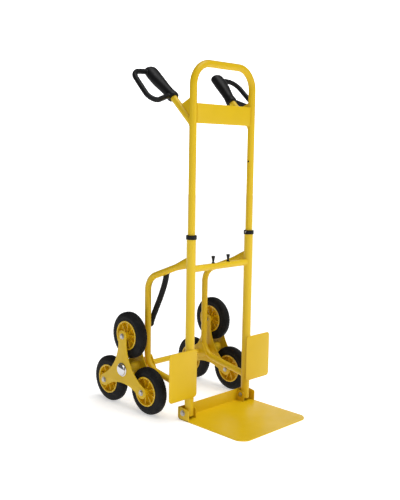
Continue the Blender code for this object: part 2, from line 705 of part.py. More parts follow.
def ear_outline(bottom, top, front=-0.024, rear=0.027):
    corners = ((front, bottom), (rear, bottom), (rear, top), (front, top - 0.007))
    return rounded(corners, (0, 0.010, 0.006, 0.006), 4, closed=True)


def toe_lug(name, side, pivot, home):
    """Welded inner lug, in front of the rear wall."""
    clear = TOE_WALL_FACE - GAP - OVERLAP
    corners = ((-0.014, TOE_THICKNESS + GAP), (clear, TOE_THICKNESS + GAP), (clear, 0.041), (-0.014, 0.037))
    outline = rounded(corners, (0, 0, 0.006, 0.010), 4, closed=True)
    mesh = plate_mesh("toe_lug_" + name, outline, TOE_LUG,
                      holes=[circle(BOLT_OD / 2 + GAP, (TOE_PIVOT_BACK, TOE_PIVOT_HEIGHT))])
    middle = MAST_X - LOWER_R - LUG_CLEARANCE - TOE_LUG / 2
    place(mesh.name, mesh, "yellow_powder_coat", parent=pivot, at=home + Vector((side * middle, 0, 0)),
          turn=FACING_X)


# ---- Star clusters ---------------------------------------------------------------------------------------
def arm_tip(number):
    """Centre of a wheel bolt, from the axle, as (y, z); arm 1 points straight up."""
    angle = math.pi / 2 + number * ARM_STEP
    return ARM_RADIUS * math.cos(angle), ARM_RADIUS * math.sin(angle)


def star_outline():
    """Three arms with round tips, and a round hollow between each two."""
    half = ARM_STEP / 2
    hollow_radius = (STAR_WAIST * math.sin(half) - STAR_TIP_RADIUS) / (1 - math.sin(half))
    centre = STAR_WAIST + hollow_radius
    line = []
    for arm in range(ARMS):
        angle = math.pi / 2 + arm * ARM_STEP
        tip = arm_tip(arm)
        for step in range(STAR_ARC_STEPS + 1):
            turn = angle - math.pi / 2 + math.pi * step / STAR_ARC_STEPS
            line.append((tip[0] + STAR_TIP_RADIUS * math.cos(turn),
                         tip[1] + STAR_TIP_RADIUS * math.sin(turn)))
        valley = angle + half
        spread = math.pi / 2 - half
        for step in range(STAR_ARC_STEPS + 1):
            turn = valley + math.pi + spread * (1 - 2 * step / STAR_ARC_STEPS)
            line.append((centre * math.cos(valley) + hollow_radius * math.cos(turn),
                         centre * math.sin(valley) + hollow_radius * math.sin(turn)))
    return line


def cluster(name, side):
    axle = guide("cluster_%s_axis" % name, ORIGIN, (side * WHEEL_CENTRE, AXLE_BACK, AXLE_HEIGHT))
    bolt_holes = [circle(BOLT_OD / 2 + GAP, arm_tip(arm)) for arm in range(ARMS)]
    outline = star_outline()
    away = side * (STAR_SPACE + STAR_PLATE) / 2
    for layer, distance, hole in (("outer", away, AXLE_ROD_OD / 2 + RUNNING),
                                  ("inner", -away, BARREL_OD / 2 + GAP)):
        mesh = plate_mesh("star_%s_%s" % (layer, name), outline, STAR_PLATE,
                          holes=bolt_holes + [circle(hole, sides=TUBE_SIDES)])
        place(mesh.name, mesh, "yellow_powder_coat", parent=axle, at=(distance, 0, 0), turn=FACING_X)
    hub_barrel(name, side, axle)
    for arm in range(ARMS):
        y, z = arm_tip(arm)
        number = arm + 1
        bolt("wheel_bolt_%s_%d" % (name, number), away * side + STAR_PLATE / 2 + GAP,
             -away * side - STAR_PLATE / 2 - GAP, axle, side, at=(0, y, z))
        wheel("%s_%d" % (name, number), side, guide("wheel_%s_%d_axis" % (name, number), axle, (0, y, z)))


def hub_barrel(name, side, axle):
    """The cluster's hub: a tube with a thick bored disc at each end, which runs on the axle rod."""
    outer = BARREL_OD / 2
    bore = AXLE_ROD_OD / 2 + RUNNING
    room = outer - BARREL_WALL
    top = STAR_SPACE / 2 - GAP
    low = BARREL_START - WHEEL_CENTRE
    profile = ((outer, top), (outer, low), (bore, low), (bore, low + BARREL_END), (room, low + BARREL_END),
               (room, top - BARREL_END), (bore, top - BARREL_END), (bore, top))
    turned("hub_barrel_" + name, profile, "yellow_powder_coat", steps=TUBE_SIDES, parent=axle,
           turn=across(side))


def wheel(name, side, axis):
    half = TYRE_WIDTH / 2
    bead = RIM_RADIUS + GAP
    high = WHEEL_RADIUS - bead
    shape = ((0, 1.0), (0.30, 0.94), (0.62, 0.74), (0.86, 0.45), (1.0, 0.13))
    down = [(bead + high * out, half * wide) for out, wide in shape]
    profile = down + [(radius, -height) for radius, height in reversed(down)]
    turned("tyre_" + name, profile, "tyre_rubber", steps=WHEEL_SIDES, parent=axis, turn=across(side))
    hub = WHEEL_HUB_OD / 2
    bore = BOLT_OD / 2 + RUNNING
    hub_half = STAR_SPACE / 2 - SIDE_PLAY
    flange = RIM_RADIUS - RIM_FLANGE
    web = RIM_WEB / 2
    slope = hub * 0.92
    profile = ((RIM_RADIUS, RIM_WIDTH / 2), (RIM_RADIUS, -RIM_WIDTH / 2), (flange, -RIM_WIDTH / 2),
               (flange - 0.002, -web), (hub, -web), (slope, -hub_half), (bore, -hub_half), (bore, hub_half),
               (slope, hub_half), (hub, web), (flange - 0.002, web), (flange, RIM_WIDTH / 2))
    turned("rim_" + name, profile, "yellow_plastic", steps=WHEEL_SIDES, parent=axis, turn=across(side))


# ---- Load strap ------------------------------------------------------------------------------------------
def smooth_route(route, per_span):
    """A smooth line through the route's points (Catmull-Rom)."""
    points = [Vector(point) for point in route]
    points = [2 * points[0] - points[1]] + points + [2 * points[-1] - points[-2]]
    line = []
    for before, here, there, after in zip(points, points[1:], points[2:], points[3:]):
        for step in range(per_span):
            t = step / per_span
            bend = 2 * before - 5 * here + 4 * there - after
            twist = 3 * here - before - 3 * there + after
            line.append(0.5 * (2 * here + (there - before) * t + bend * t ** 2 + twist * t ** 3))
    line.append(points[-2])
    return line


def load_strap():
    line = [Vector((STRAP_X, y, z)) for y, z in smooth_route(STRAP_ROUTE, 2)]
    mesh = rod_mesh("load_strap", line, STRAP_OD / 2, sides=10)
    place(mesh.name, mesh, "black_elastic")
    for name, end, inner in (("upper", line[0], line[1]), ("lower", line[-1], line[-2])):
        away = (end - inner).normalized()
        socket_radius = STRAP_SOCKET_OD / 2
        profile = ((0, STRAP_SOCKET_LENGTH), (socket_radius * 0.8, STRAP_SOCKET_LENGTH),
                   (socket_radius, STRAP_SOCKET_LENGTH * 0.85), (socket_radius, 0), (0, 0))
        turn = Vector((0, 0, 1)).rotation_difference(away).to_euler()
        turned("strap_socket_" + name, profile, "black_plastic", ring=False, at=end + away * GAP,
               turn=turn)


def build():
    lower_spaces, upper_spaces = mast_cutters()
    lower_tubes()
    cross_tube(lower_spaces)
    hook_posts()
    rear_frames(lower_spaces)
    axle_parts()
    side_guards()
    collars()
    toe_bolts()
    mast_loop()
    plate = name_plate(upper_spaces)
    handles(upper_spaces, plate)
    toe_plate(guide("toe_pivot_axis", ORIGIN, (0, TOE_PIVOT_BACK, TOE_PIVOT_HEIGHT)))
    for name, side in SIDES.items():
        cluster(name, side)
    load_strap()


build()
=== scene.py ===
# %% [markdown]
# # A stair-climbing hand truck
# A hand truck is a welded frame of steel tube on wheels. This one has a mast that slides down, a
# toe plate that folds up, two D-handles, and on each side three wheels on a star that rolls over
# stair treads. The CAD model already says where every part is and how it moves. What is left is
# the look: round tubes, weld beads, moulded ribs, tread, and paint that shows how it was sprayed.
#
# The frame comes first, because every piece made later is placed by it and rides on one of its
# bodies.

# %% Load the CAD frame
import json
import math

import bmesh
import bpy
from mathutils import Matrix, Vector


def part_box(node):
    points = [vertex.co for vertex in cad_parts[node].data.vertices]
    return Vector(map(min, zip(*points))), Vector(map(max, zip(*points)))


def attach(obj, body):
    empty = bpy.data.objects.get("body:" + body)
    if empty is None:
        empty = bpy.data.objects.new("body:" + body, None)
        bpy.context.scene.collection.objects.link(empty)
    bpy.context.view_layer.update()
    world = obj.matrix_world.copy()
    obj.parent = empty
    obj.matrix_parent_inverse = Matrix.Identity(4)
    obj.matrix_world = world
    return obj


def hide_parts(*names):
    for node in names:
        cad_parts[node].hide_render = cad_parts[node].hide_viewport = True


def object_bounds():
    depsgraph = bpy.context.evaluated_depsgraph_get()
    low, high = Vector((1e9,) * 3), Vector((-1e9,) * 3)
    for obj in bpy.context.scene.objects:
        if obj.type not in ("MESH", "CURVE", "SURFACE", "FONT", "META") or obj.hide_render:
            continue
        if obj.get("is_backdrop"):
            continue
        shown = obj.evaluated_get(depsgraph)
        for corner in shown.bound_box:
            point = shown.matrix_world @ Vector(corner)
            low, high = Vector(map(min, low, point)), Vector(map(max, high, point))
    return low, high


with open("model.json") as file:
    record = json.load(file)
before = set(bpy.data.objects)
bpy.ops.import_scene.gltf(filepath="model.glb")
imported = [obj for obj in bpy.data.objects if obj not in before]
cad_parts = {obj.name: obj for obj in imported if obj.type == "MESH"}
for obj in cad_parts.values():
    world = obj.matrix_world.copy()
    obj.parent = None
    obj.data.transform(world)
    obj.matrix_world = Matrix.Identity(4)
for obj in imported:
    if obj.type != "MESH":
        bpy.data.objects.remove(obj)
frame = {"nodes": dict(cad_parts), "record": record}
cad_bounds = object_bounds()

# %% [markdown]
# ## Measuring the frame
# A fitter measures a part before making one that fits it. The box around each CAD node gives the
# middle and the radius of every tube, so nothing here has to be guessed. Everything lies left and
# right of the middle, so each pair of pieces is made in one loop over the two sides.

# %% Take the main measures
SIDES = {"left": -1, "right": 1}


def span(node, axis):
    """Lowest and highest value of a CAD node along X, Y or Z."""
    low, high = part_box(node)
    index = "XYZ".index(axis)
    return low[index], high[index]


def middle(node, axis):
    return sum(span(node, axis)) / 2


def reach(node, axis):
    """Half of a node's size along an axis: the radius of a tube that lies across it."""
    low, high = span(node, axis)
    return (high - low) / 2


mast_x = middle("lower_mast_tube_right", "X")
mast_y = middle("lower_mast_tube_right", "Y")
lower_radius = reach("lower_mast_tube_right", "X")
upper_radius = reach("mast_loop", "Y")
axle_y = middle("axle_tube", "Y")
axle_z = middle("axle_tube", "Z")
wheel_radius = reach("tyre_right_1", "Z")
arm_length = middle("tyre_right_1", "Z") - axle_z
TUBE_WALL = 0.0015
print("mast tubes at x = +-%.4f, lower radius %.4f, upper radius %.4f"
      % (mast_x, lower_radius, upper_radius))
print("axle at y %.4f z %.4f, star arm %.4f, wheel radius %.4f"
      % (axle_y, axle_z, arm_length, wheel_radius))

# %% [markdown]
# ## Camera
# The camera stands in front and to the left of the truck, a little under two thirds of its height,
# and looks slightly down. It is turned a touch about its own line of sight, as a hand-held camera
# is. The place of the camera decides the perspective, and the lens only decides how much of it is
# seen.

# %% Place the camera
CAMERA_AT = Vector((-1.7818, -1.7547, 0.8642))
CAMERA_YAW, CAMERA_PITCH, CAMERA_ROLL = (math.radians(a) for a in (45.003, 7.286, 0.897))
sight = Vector((math.sin(CAMERA_YAW) * math.cos(CAMERA_PITCH),
                math.cos(CAMERA_YAW) * math.cos(CAMERA_PITCH), -math.sin(CAMERA_PITCH)))
level = Vector((math.cos(CAMERA_YAW), -math.sin(CAMERA_YAW), 0))
upright = level.cross(sight)
camera_x = level * math.cos(CAMERA_ROLL) + upright * math.sin(CAMERA_ROLL)
camera_y = upright * math.cos(CAMERA_ROLL) - level * math.sin(CAMERA_ROLL)
camera_data = bpy.data.cameras.new("camera")
camera_data.sensor_width = 36
camera_data.lens = 53.217
camera = bpy.data.objects.new("camera", camera_data)
bpy.context.scene.collection.objects.link(camera)
turn = Matrix((camera_x, camera_y, -sight)).transposed()
camera.matrix_world = Matrix.Translation(CAMERA_AT) @ turn.to_4x4()
bpy.context.scene.camera = camera
print("camera %.2f m from the mast" % (CAMERA_AT - Vector((0, mast_y, 0.6))).length)

# %% [markdown]
# ## Floor and light
# A catalogue picture is taken on white paper under large soft lamps. The paper could be a curved
# sheet, but then the truck could not be seen from behind, so a wide matt disc is the floor and a
# dome stands for the white room. Only the camera sees the dome: if it also lit the truck, light
# would come from everywhere and the tubes would look flat. A broad sun from above gives the floor
# an even tone, large panels at the front left and front right put the long highlights on the
# tubes, and a smaller panel behind them on the right keeps the far side of the frame from going
# dark. The floor glows a little, as lit paper does, so that it stays white under the truck.

# %% Build the studio
ROOM = 14.0
PAPER_GLOW = 0.55
FLOOR_GAP = 0.0004
ROOM_LIGHT = 0.15


def plain_material(name, colour, roughness=0.9, glow=0.0):
    material = bpy.data.materials.new(name)
    material.use_nodes = True
    shader = material.node_tree.nodes["Principled BSDF"]
    shader.inputs["Base Color"].default_value = (*colour, 1)
    shader.inputs["Roughness"].default_value = roughness
    shader.inputs["Specular IOR Level"].default_value = 0.2
    if glow:
        shader.inputs["Emission Color"].default_value = (*colour, 1)
        shader.inputs["Emission Strength"].default_value = glow
        material.cycles.emission_sampling = "NONE"        # vast and even: no ray has to aim at it
    return material


def stage_object(name, build, material):
    shape = bmesh.new()
    build(shape)
    mesh = bpy.data.meshes.new(name)
    shape.to_mesh(mesh)
    shape.free()
    mesh.materials.append(material)
    mesh.shade_smooth()
    item = bpy.data.objects.new(name, mesh)
    bpy.context.scene.collection.objects.link(item)
    item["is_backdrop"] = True
    return item


def disc(shape):
    bmesh.ops.create_circle(shape, cap_ends=True, segments=96, radius=ROOM)


def ball(shape):
    bmesh.ops.create_uvsphere(shape, u_segments=48, v_segments=24, radius=ROOM)


paper = plain_material("matt_paper", (0.90, 0.90, 0.90), glow=PAPER_GLOW)
floor = stage_object("floor", disc, paper)
floor.location.z = -FLOOR_GAP
dome = stage_object("white_room", ball, plain_material("white_room", (1, 1, 1), glow=1.0))
for ray in ("diffuse", "glossy", "transmission", "volume_scatter", "shadow"):
    setattr(dome, "visible_" + ray, False)

world = bpy.data.worlds.new("room_light")
world.use_nodes = True
background = world.node_tree.nodes["Background"]
background.inputs["Color"].default_value = (1, 1, 1, 1)
background.inputs["Strength"].default_value = ROOM_LIGHT
bpy.context.scene.world = world
bpy.context.scene.view_settings.view_transform = "Standard"


def lamp(name, kind, place, target, power, size=None, height=None):
    """A lamp at a place, turned to face a target."""
    data = bpy.data.lights.new(name, kind)
    data.energy = power
    if kind == "SUN":
        data.angle = size
    else:
        data.shape = "RECTANGLE"
        data.size = size
        data.size_y = height
    item = bpy.data.objects.new(name, data)
    bpy.context.scene.collection.objects.link(item)
    item.location = place
    item.rotation_euler = (Vector(target) - Vector(place)).to_track_quat("-Z", "Y").to_euler()
    return item


TRUCK_MIDDLE = (0, 0, 0.55)
FAR_WHEELS = (0, -0.2, 0.3)
lamp("overhead_sun", "SUN", (0.5, -1.1, 4.0), TRUCK_MIDDLE, 2.08, size=math.radians(50))
lamp("front_left_panel", "AREA", (-3.1, -2.1, 1.9), TRUCK_MIDDLE, 15.5, size=2.0, height=2.6)
lamp("front_right_panel", "AREA", (1.2, -3.3, 1.7), TRUCK_MIDDLE, 20, size=1.2, height=2.8)
back_panel = lamp("back_right_panel", "AREA", (2.7, 1.1, 1.15), FAR_WHEELS, 10, size=1.9,
                  height=1.7)
back_panel.visible_camera = False
print("studio: floor %.0f m across, %d lamps" % (2 * ROOM, len(bpy.data.lights)))

# %% [markdown]
# ## Finishes
# Every finish is made of nodes. Each starts from the place of a point on the piece, in metres, so
# that a grain of two millimetres is two millimetres on every piece. Noise makes the colour and the
# gloss uneven, as spraying and moulding do, and a second, finer noise goes to the bump. What is
# the same all over a piece is set on the shader itself, and nodes only carry what varies.

# %% Helper for finishes
class Finish:
    """A material with short ways to add the nodes that vary it."""

    def __init__(self, name, colour, roughness, metallic=0.0):
        self.material = bpy.data.materials.new(name)
        self.material.use_nodes = True
        self.tree = self.material.node_tree
        self.shader = self.tree.nodes["Principled BSDF"]
        self.shader.inputs["Base Color"].default_value = (*colour, 1)
        self.shader.inputs["Roughness"].default_value = roughness
        self.shader.inputs["Metallic"].default_value = metallic
        self.place = self.tree.nodes.new("ShaderNodeTexCoord").outputs["Object"]

    def link(self, source, target):
        self.tree.links.new(source, target)

    def noise(self, size, detail=2.0, stretch=None):
        """Uneven values from 0 to 1, in patches about that many metres wide."""
        node = self.tree.nodes.new("ShaderNodeTexNoise")
        node.inputs["Scale"].default_value = 1 / size
        node.inputs["Detail"].default_value = detail
        place = self.place
        if stretch:
            mapping = self.tree.nodes.new("ShaderNodeMapping")
            mapping.inputs["Scale"].default_value = stretch
            self.link(place, mapping.inputs["Vector"])
            place = mapping.outputs["Vector"]
        self.link(place, node.inputs["Vector"])
        return node.outputs["Fac"]

    def ramp(self, value, low, high, first, last):
        """Turn a value between low and high into a colour between first and last."""
        node = self.tree.nodes.new("ShaderNodeValToRGB")
        for element, position, colour in zip(node.color_ramp.elements, (low, high), (first, last)):
            element.position = position
            element.color = (*colour, 1)
        self.link(value, node.inputs["Fac"])
        return node.outputs["Color"]

    def stretch(self, value, low, high, first, last):
        """Turn a value between low and high into a number between first and last."""
        node = self.tree.nodes.new("ShaderNodeMapRange")
        names = ("From Min", "From Max", "To Min", "To Max")
        for name, number in zip(names, (low, high, first, last)):
            node.inputs[name].default_value = number
        self.link(value, node.inputs["Value"])
        return node.outputs["Result"]

    def math(self, operation, first, second):
        node = self.tree.nodes.new("ShaderNodeMath")
        node.operation = operation
        for socket, value in zip(node.inputs, (first, second)):
            if isinstance(value, (int, float)):
                socket.default_value = value
            else:
                self.link(value, socket)
        return node.outputs[0]

    def mix(self, amount, first, second):
        """Blend two colours by an amount from 0 to 1."""
        node = self.tree.nodes.new("ShaderNodeMix")
        node.data_type = "RGBA"
        self.link(amount, node.inputs[0])
        for socket, colour in ((node.inputs[6], first), (node.inputs[7], second)):
            if isinstance(colour, tuple):
                socket.default_value = (*colour, 1)
            else:
                self.link(colour, socket)
        return node.outputs[2]

    def edges(self, low, high):
        """1 where the surface turns sharply outwards, as on the edge of a plate."""
        geometry = self.tree.nodes.new("ShaderNodeNewGeometry")
        return self.stretch(geometry.outputs["Pointiness"], low, high, 0, 1)

    def colour(self, output):
        self.link(output, self.shader.inputs["Base Color"])

    def roughness(self, output):
        self.link(output, self.shader.inputs["Roughness"])

    def bump(self, height, depth, strength=1.0):
        """Raise and lower the surface by up to that many metres."""
        node = self.tree.nodes.new("ShaderNodeBump")
        node.inputs["Distance"].default_value = depth
        node.inputs["Strength"].default_value = strength
        self.link(height, node.inputs["Height"])
        self.link(node.outputs["Normal"], self.shader.inputs["Normal"])


print("finish helper ready")

# %% [markdown]
# ### Yellow powder coat
# The steel is sprayed with dry powder and baked. The powder melts into a tough film whose surface
# has a fine orange-peel texture, cells of about two millimetres. A flat yellow would look like
# plastic. Four things are layered instead: slow drifts of colour along the piece, a painted
# highlight that makes sharp edges a brighter yellow, patches of a little more and a little less
# gloss, and the orange peel as bump.

# %% Mix the powder coat
DRIFT_SIZE, GLOSS_PATCH, PEEL_SIZE = 0.16, 0.03, 0.0022
PEEL_DEPTH = 0.00004


def powder_coat(name, deep, pale, edge, dullness):
    finish = Finish(name, deep, dullness)
    drift = finish.ramp(finish.noise(DRIFT_SIZE, 3.0), 0.35, 0.65, deep, pale)
    # Sharp edges get a brighter yellow here: a painted highlight.
    finish.colour(finish.mix(finish.edges(0.52, 0.62), drift, edge))
    peel = finish.noise(PEEL_SIZE, 1.5)
    patches = finish.noise(GLOSS_PATCH, 2.0)
    finish.roughness(finish.stretch(patches, 0.3, 0.7, dullness - 0.045, dullness + 0.055))
    finish.bump(peel, PEEL_DEPTH, 0.25)
    finish.shader.inputs["Specular IOR Level"].default_value = 0.28
    return finish.material


# The third colour is the brighter yellow of the painted highlight on sharp edges.
YELLOW_PAINT = powder_coat("yellow_powder_coat", (0.700, 0.450, 0.004), (0.745, 0.485, 0.006),
                           (0.82, 0.57, 0.03), dullness=0.335)
print("powder coat mixed")

# %% [markdown]
# ### Rubber, plastics and metals
# Tyres are matt and nearly black, with dust in the fine grain. The grips and collars are moulded
# in a spark-eroded tool, which leaves a very fine even grain. The rims are moulded too, but in a
# polished tool, so they are glossier and a deeper yellow. Zinc plate shows soft crystal patches,
# and chrome is almost a mirror, with the odd smear that only its roughness shows. The strap's
# sleeve is a braid: two sets of bands that cross, multiplied into one pattern of small raised
# diamonds.

# %% Mix the other finishes
def tyre_rubber():
    finish = Finish("tyre_rubber", (0.011, 0.011, 0.011), 0.62)
    finish.shader.inputs["Specular IOR Level"].default_value = 0.16
    dust = finish.stretch(finish.noise(0.02, 4.0), 0.45, 0.75, 0, 1)
    finish.colour(finish.mix(dust, (0.006, 0.006, 0.0065), (0.015, 0.0145, 0.014)))
    finish.roughness(finish.stretch(finish.noise(0.004, 2.0), 0.3, 0.7, 0.52, 0.72))
    finish.bump(finish.noise(0.0012, 3.0), 0.00008, 0.6)
    return finish.material


def moulded_plastic(name, dark, light, roughness, grain, depth, shine):
    finish = Finish(name, dark, roughness)
    finish.colour(finish.ramp(finish.noise(0.04, 2.0), 0.3, 0.7, dark, light))
    patches = finish.noise(0.012, 3.0)
    finish.roughness(finish.stretch(patches, 0.3, 0.7, roughness - 0.05, roughness + 0.06))
    finish.bump(finish.noise(grain, 2.0), depth, 0.4)
    finish.shader.inputs["Specular IOR Level"].default_value = shine
    return finish.material


def zinc_plate():
    finish = Finish("zinc_plate", (0.50, 0.48, 0.46), 0.3, metallic=1.0)
    crystals = finish.tree.nodes.new("ShaderNodeTexVoronoi")
    crystals.inputs["Scale"].default_value = 420
    finish.link(finish.place, crystals.inputs["Vector"])
    finish.colour(finish.ramp(crystals.outputs["Distance"], 0.1, 0.9, (0.55, 0.52, 0.49),
                              (0.38, 0.37, 0.37)))
    finish.roughness(finish.stretch(finish.noise(0.003, 2.0), 0.3, 0.7, 0.29, 0.44))
    finish.bump(finish.noise(0.0009, 2.0), 0.00003, 0.5)
    return finish.material


def chrome_plate():
    finish = Finish("chrome_plate", (0.60, 0.60, 0.62), 0.06, metallic=1.0)
    finish.roughness(finish.stretch(finish.noise(0.010, 4.0), 0.45, 0.75, 0.04, 0.13))
    finish.bump(finish.noise(0.02, 1.0), 0.00004, 0.3)
    return finish.material


def woven_elastic():
    """A braided sleeve: two sets of fine bands that cross each other."""
    finish = Finish("woven_elastic", (0.012, 0.012, 0.013), 0.7)
    bands = []
    for tilt in (0.6, -0.6):
        mapping = finish.tree.nodes.new("ShaderNodeMapping")
        mapping.inputs["Rotation"].default_value = (0.9 + tilt, tilt, 0)
        finish.link(finish.place, mapping.inputs["Vector"])
        wave = finish.tree.nodes.new("ShaderNodeTexWave")
        wave.inputs["Scale"].default_value = 130
        wave.inputs["Distortion"].default_value = 0.6
        finish.link(mapping.outputs["Vector"], wave.inputs["Vector"])
        bands.append(wave.outputs["Fac"])
    braid = finish.math("MULTIPLY", *bands)
    finish.colour(finish.ramp(braid, 0.1, 0.9, (0.004, 0.004, 0.0045), (0.016, 0.016, 0.017)))
    finish.roughness(finish.stretch(braid, 0, 1, 0.62, 0.82))
    finish.bump(braid, 0.0003, 0.6)
    finish.shader.inputs["Sheen Weight"].default_value = 0.05
    finish.shader.inputs["Specular IOR Level"].default_value = 0.2
    return finish.material


BLACKS = (0.005, 0.005, 0.0055), (0.009, 0.009, 0.0095)
RIM_YELLOWS = (0.74, 0.465, 0.003), (0.80, 0.51, 0.005)
TYRE_RUBBER = tyre_rubber()
GRIP_PLASTIC = moulded_plastic("grip_plastic", *BLACKS, 0.42, 0.0008, 0.00004, shine=0.15)
COLLAR_PLASTIC = moulded_plastic("collar_plastic", *BLACKS, 0.335, 0.0010, 0.00003, shine=0.20)
RIM_PLASTIC = moulded_plastic("rim_plastic", *RIM_YELLOWS, 0.205, 0.0016, 0.00003, shine=0.5)
ZINC = zinc_plate()
CHROME = chrome_plate()
ELASTIC = woven_elastic()

# %% [markdown]
# ## Ways to make a shape
# Almost everything on this truck is made in one of four ways in the factory, and each has its
# match in mesh code. A tube is drawn and bent: rings of points carried along a line. A turned part
# is cut on a lathe: a profile carried round an axis. A pressed part is cut from sheet: a flat
# outline with a thickness and a softened edge. A moulded part is anything that those three make
# when they are melted together. Each helper returns a shape, a list of points with a list of
# faces, so that shapes can be moved and put together before they become one piece.

# %% Helpers: lines, rings and skins
def bent(corners, radii, steps=10):
    """The corners as a line, with an arc of the given radius in each corner."""
    corners = [Vector(corner) for corner in corners]
    line = []
    for k, (here, radius) in enumerate(zip(corners, radii)):
        if radius <= 0:
            line.append(here)
            continue
        back = (corners[k - 1] - here).normalized()
        ahead = (corners[(k + 1) % len(corners)] - here).normalized()
        half = back.angle(ahead) / 2
        centre = here + (back + ahead).normalized() * (radius / math.sin(half))
        start = here + back * (radius / math.tan(half)) - centre
        end = here + ahead * (radius / math.tan(half)) - centre
        sweep = start.angle(end)
        for step in range(steps + 1):
            part = step / steps
            arm = start * math.sin((1 - part) * sweep) + end * math.sin(part * sweep)
            line.append(centre + arm / math.sin(sweep))
    return line


def skin(rings, loop=False, capped=True):
    """Quads between rings that have the same number of points."""
    sides = len(rings[0])
    points = [point for ring in rings for point in ring]
    last = len(rings) if loop else len(rings) - 1
    faces = []
    for k in range(last):
        a, b = k * sides, (k + 1) % len(rings) * sides
        faces += [(a + s, a + (s + 1) % sides, b + (s + 1) % sides, b + s) for s in range(sides)]
    if capped and not loop:
        faces.append(tuple(range(sides)))
        faces.append(tuple(range(len(points) - sides, len(points))))
    return points, faces


def rings_along(line, across, size, sides=36, loop=False, squareness=2.0):
    """Oval rings along a line.

    size is (half width, half height), or a function that gives it for ring k. across says which way
    the width lies.
    """
    across = Vector(across).normalized()
    count = len(line)
    rings = []
    for k, here in enumerate(line):
        before = line[k - 1] if loop or k else here
        after = line[(k + 1) % count] if loop or k < count - 1 else here
        ahead = (after - before).normalized()
        wide = (across - ahead * across.dot(ahead)).normalized()
        tall = ahead.cross(wide)
        half_wide, half_tall = size(k) if callable(size) else size
        ring = []
        for s in range(sides):
            c, d = math.cos(2 * math.pi * s / sides), math.sin(2 * math.pi * s / sides)
            power = 2 / squareness
            ring.append(here + wide * (half_wide * math.copysign(abs(c) ** power, c))
                        + tall * (half_tall * math.copysign(abs(d) ** power, d)))
        rings.append(ring)
    return rings


def tube(line, across, radius, wall=TUBE_WALL, size=None, sides=36):
    """A tube with a wall, open at both ends. size, if given, says how wide and tall ring k is."""
    def outside(k):
        return size(k) if size else (radius, radius)

    def inside(k):
        return tuple(half - wall for half in outside(k))

    outer = rings_along(line, across, outside, sides)
    inner = rings_along(line, across, inside, sides)
    return skin(outer + inner[::-1], loop=True)


def lathe(profile, steps=48, ring=False):
    """A profile of (radius, height) pairs turned round Z."""
    points, starts = [], []
    for radius, height in profile:
        count = steps if radius > 0 else 1
        starts.append((len(points), count))
        turns = (2 * math.pi * s / steps for s in range(count))
        points += [Vector((radius * math.cos(t), radius * math.sin(t), height)) for t in turns]
    pairs = list(zip(starts, starts[1:]))
    if ring:
        pairs.append((starts[-1], starts[0]))
    faces = []
    for (a, in_a), (b, in_b) in pairs:
        for s in range(steps):
            t = (s + 1) % steps
            face = tuple(dict.fromkeys((a + s % in_a, a + t % in_a, b + t % in_b, b + s % in_b)))
            if len(face) > 2:
                faces.append(face)
    return points, faces


def pressed(outline, thickness, holes=(), edge=0.0006):
    """Flat sheet metal cut to an outline, with softened edges. Its middle lies at height 0."""
    curve = bpy.data.curves.new("outline", "CURVE")
    curve.dimensions = "2D"
    curve.fill_mode = "BOTH"
    curve.extrude = thickness / 2 - edge
    curve.bevel_depth = edge
    curve.bevel_resolution = 2
    curve.offset = -edge
    for line in (outline, *holes):
        spline = curve.splines.new("POLY")
        spline.points.add(len(line) - 1)
        for point, corner in zip(spline.points, line):
            point.co = (corner[0], corner[1], 0, 1)
        spline.use_cyclic_u = True
    holder = bpy.data.objects.new("outline", curve)
    bpy.context.scene.collection.objects.link(holder)
    graph = bpy.context.evaluated_depsgraph_get()
    mesh = bpy.data.meshes.new_from_object(holder.evaluated_get(graph))
    points = [corner.co.copy() for corner in mesh.vertices]
    faces = [tuple(face.vertices) for face in mesh.polygons]
    bpy.data.objects.remove(holder, do_unlink=True)
    bpy.data.curves.remove(curve)
    bpy.data.meshes.remove(mesh)
    return points, faces


def circle(radius, centre=(0, 0), sides=36):
    return [(centre[0] + radius * math.cos(2 * math.pi * s / sides),
             centre[1] + radius * math.sin(2 * math.pi * s / sides)) for s in range(sides)]


def moved(shape, matrix):
    points, faces = shape
    return [matrix @ point for point in points], faces


print("four ways to make a shape are ready")

# %% [markdown]
# ### From shape to piece
# A piece is one object with one finish. It rides on a CAD body and may stand for CAD nodes, which
# then are not shown. Putting these calls in one function means no piece can be left without them.
# A hole is cut afterwards by a boolean, as it is drilled into a finished part in the workshop.

# %% Helper: finished pieces
FACING_X = Matrix(((0, 0, 1), (1, 0, 0), (0, 1, 0))).to_4x4()      # drawn x, y become Y, Z
FACING_Y = Matrix(((1, 0, 0), (0, 0, -1), (0, 1, 0))).to_4x4()     # drawn x, y become X, Z


def at(x, y, z):
    return Matrix.Translation((x, y, z))


def at_middle(node):
    return at(*(middle(node, axis) for axis in "XYZ"))


def along_x(side):
    """Turns a turned shape's own Z to point away from the middle of the truck."""
    return Matrix.Rotation(side * math.pi / 2, 4, "Y")


def linked_object(name, shapes, weld=None):
    """One mesh object from shapes. Points closer than weld become one."""
    shape = bmesh.new()
    for points, faces in shapes:
        corners = [shape.verts.new(point) for point in points]
        for face in faces:
            shape.faces.new([corners[index] for index in face])
    if weld is not None:
        bmesh.ops.remove_doubles(shape, verts=shape.verts, dist=weld)
    bmesh.ops.recalc_face_normals(shape, faces=shape.faces)
    mesh = bpy.data.meshes.new(name)
    shape.to_mesh(mesh)
    shape.free()
    item = bpy.data.objects.new(name, mesh)
    bpy.context.scene.collection.objects.link(item)
    return item


def piece(name, shapes, finish, body, stands_for=(), crease=35, weld=0.000002):
    """Shapes in world metres become one finished piece that rides on a body."""
    item = linked_object(name, shapes, weld)
    item.data.materials.append(finish)
    item.data.shade_smooth()
    item.data.set_sharp_from_angle(angle=math.radians(crease))
    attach(item, body)
    if stands_for:
        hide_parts(*stands_for)
    return item


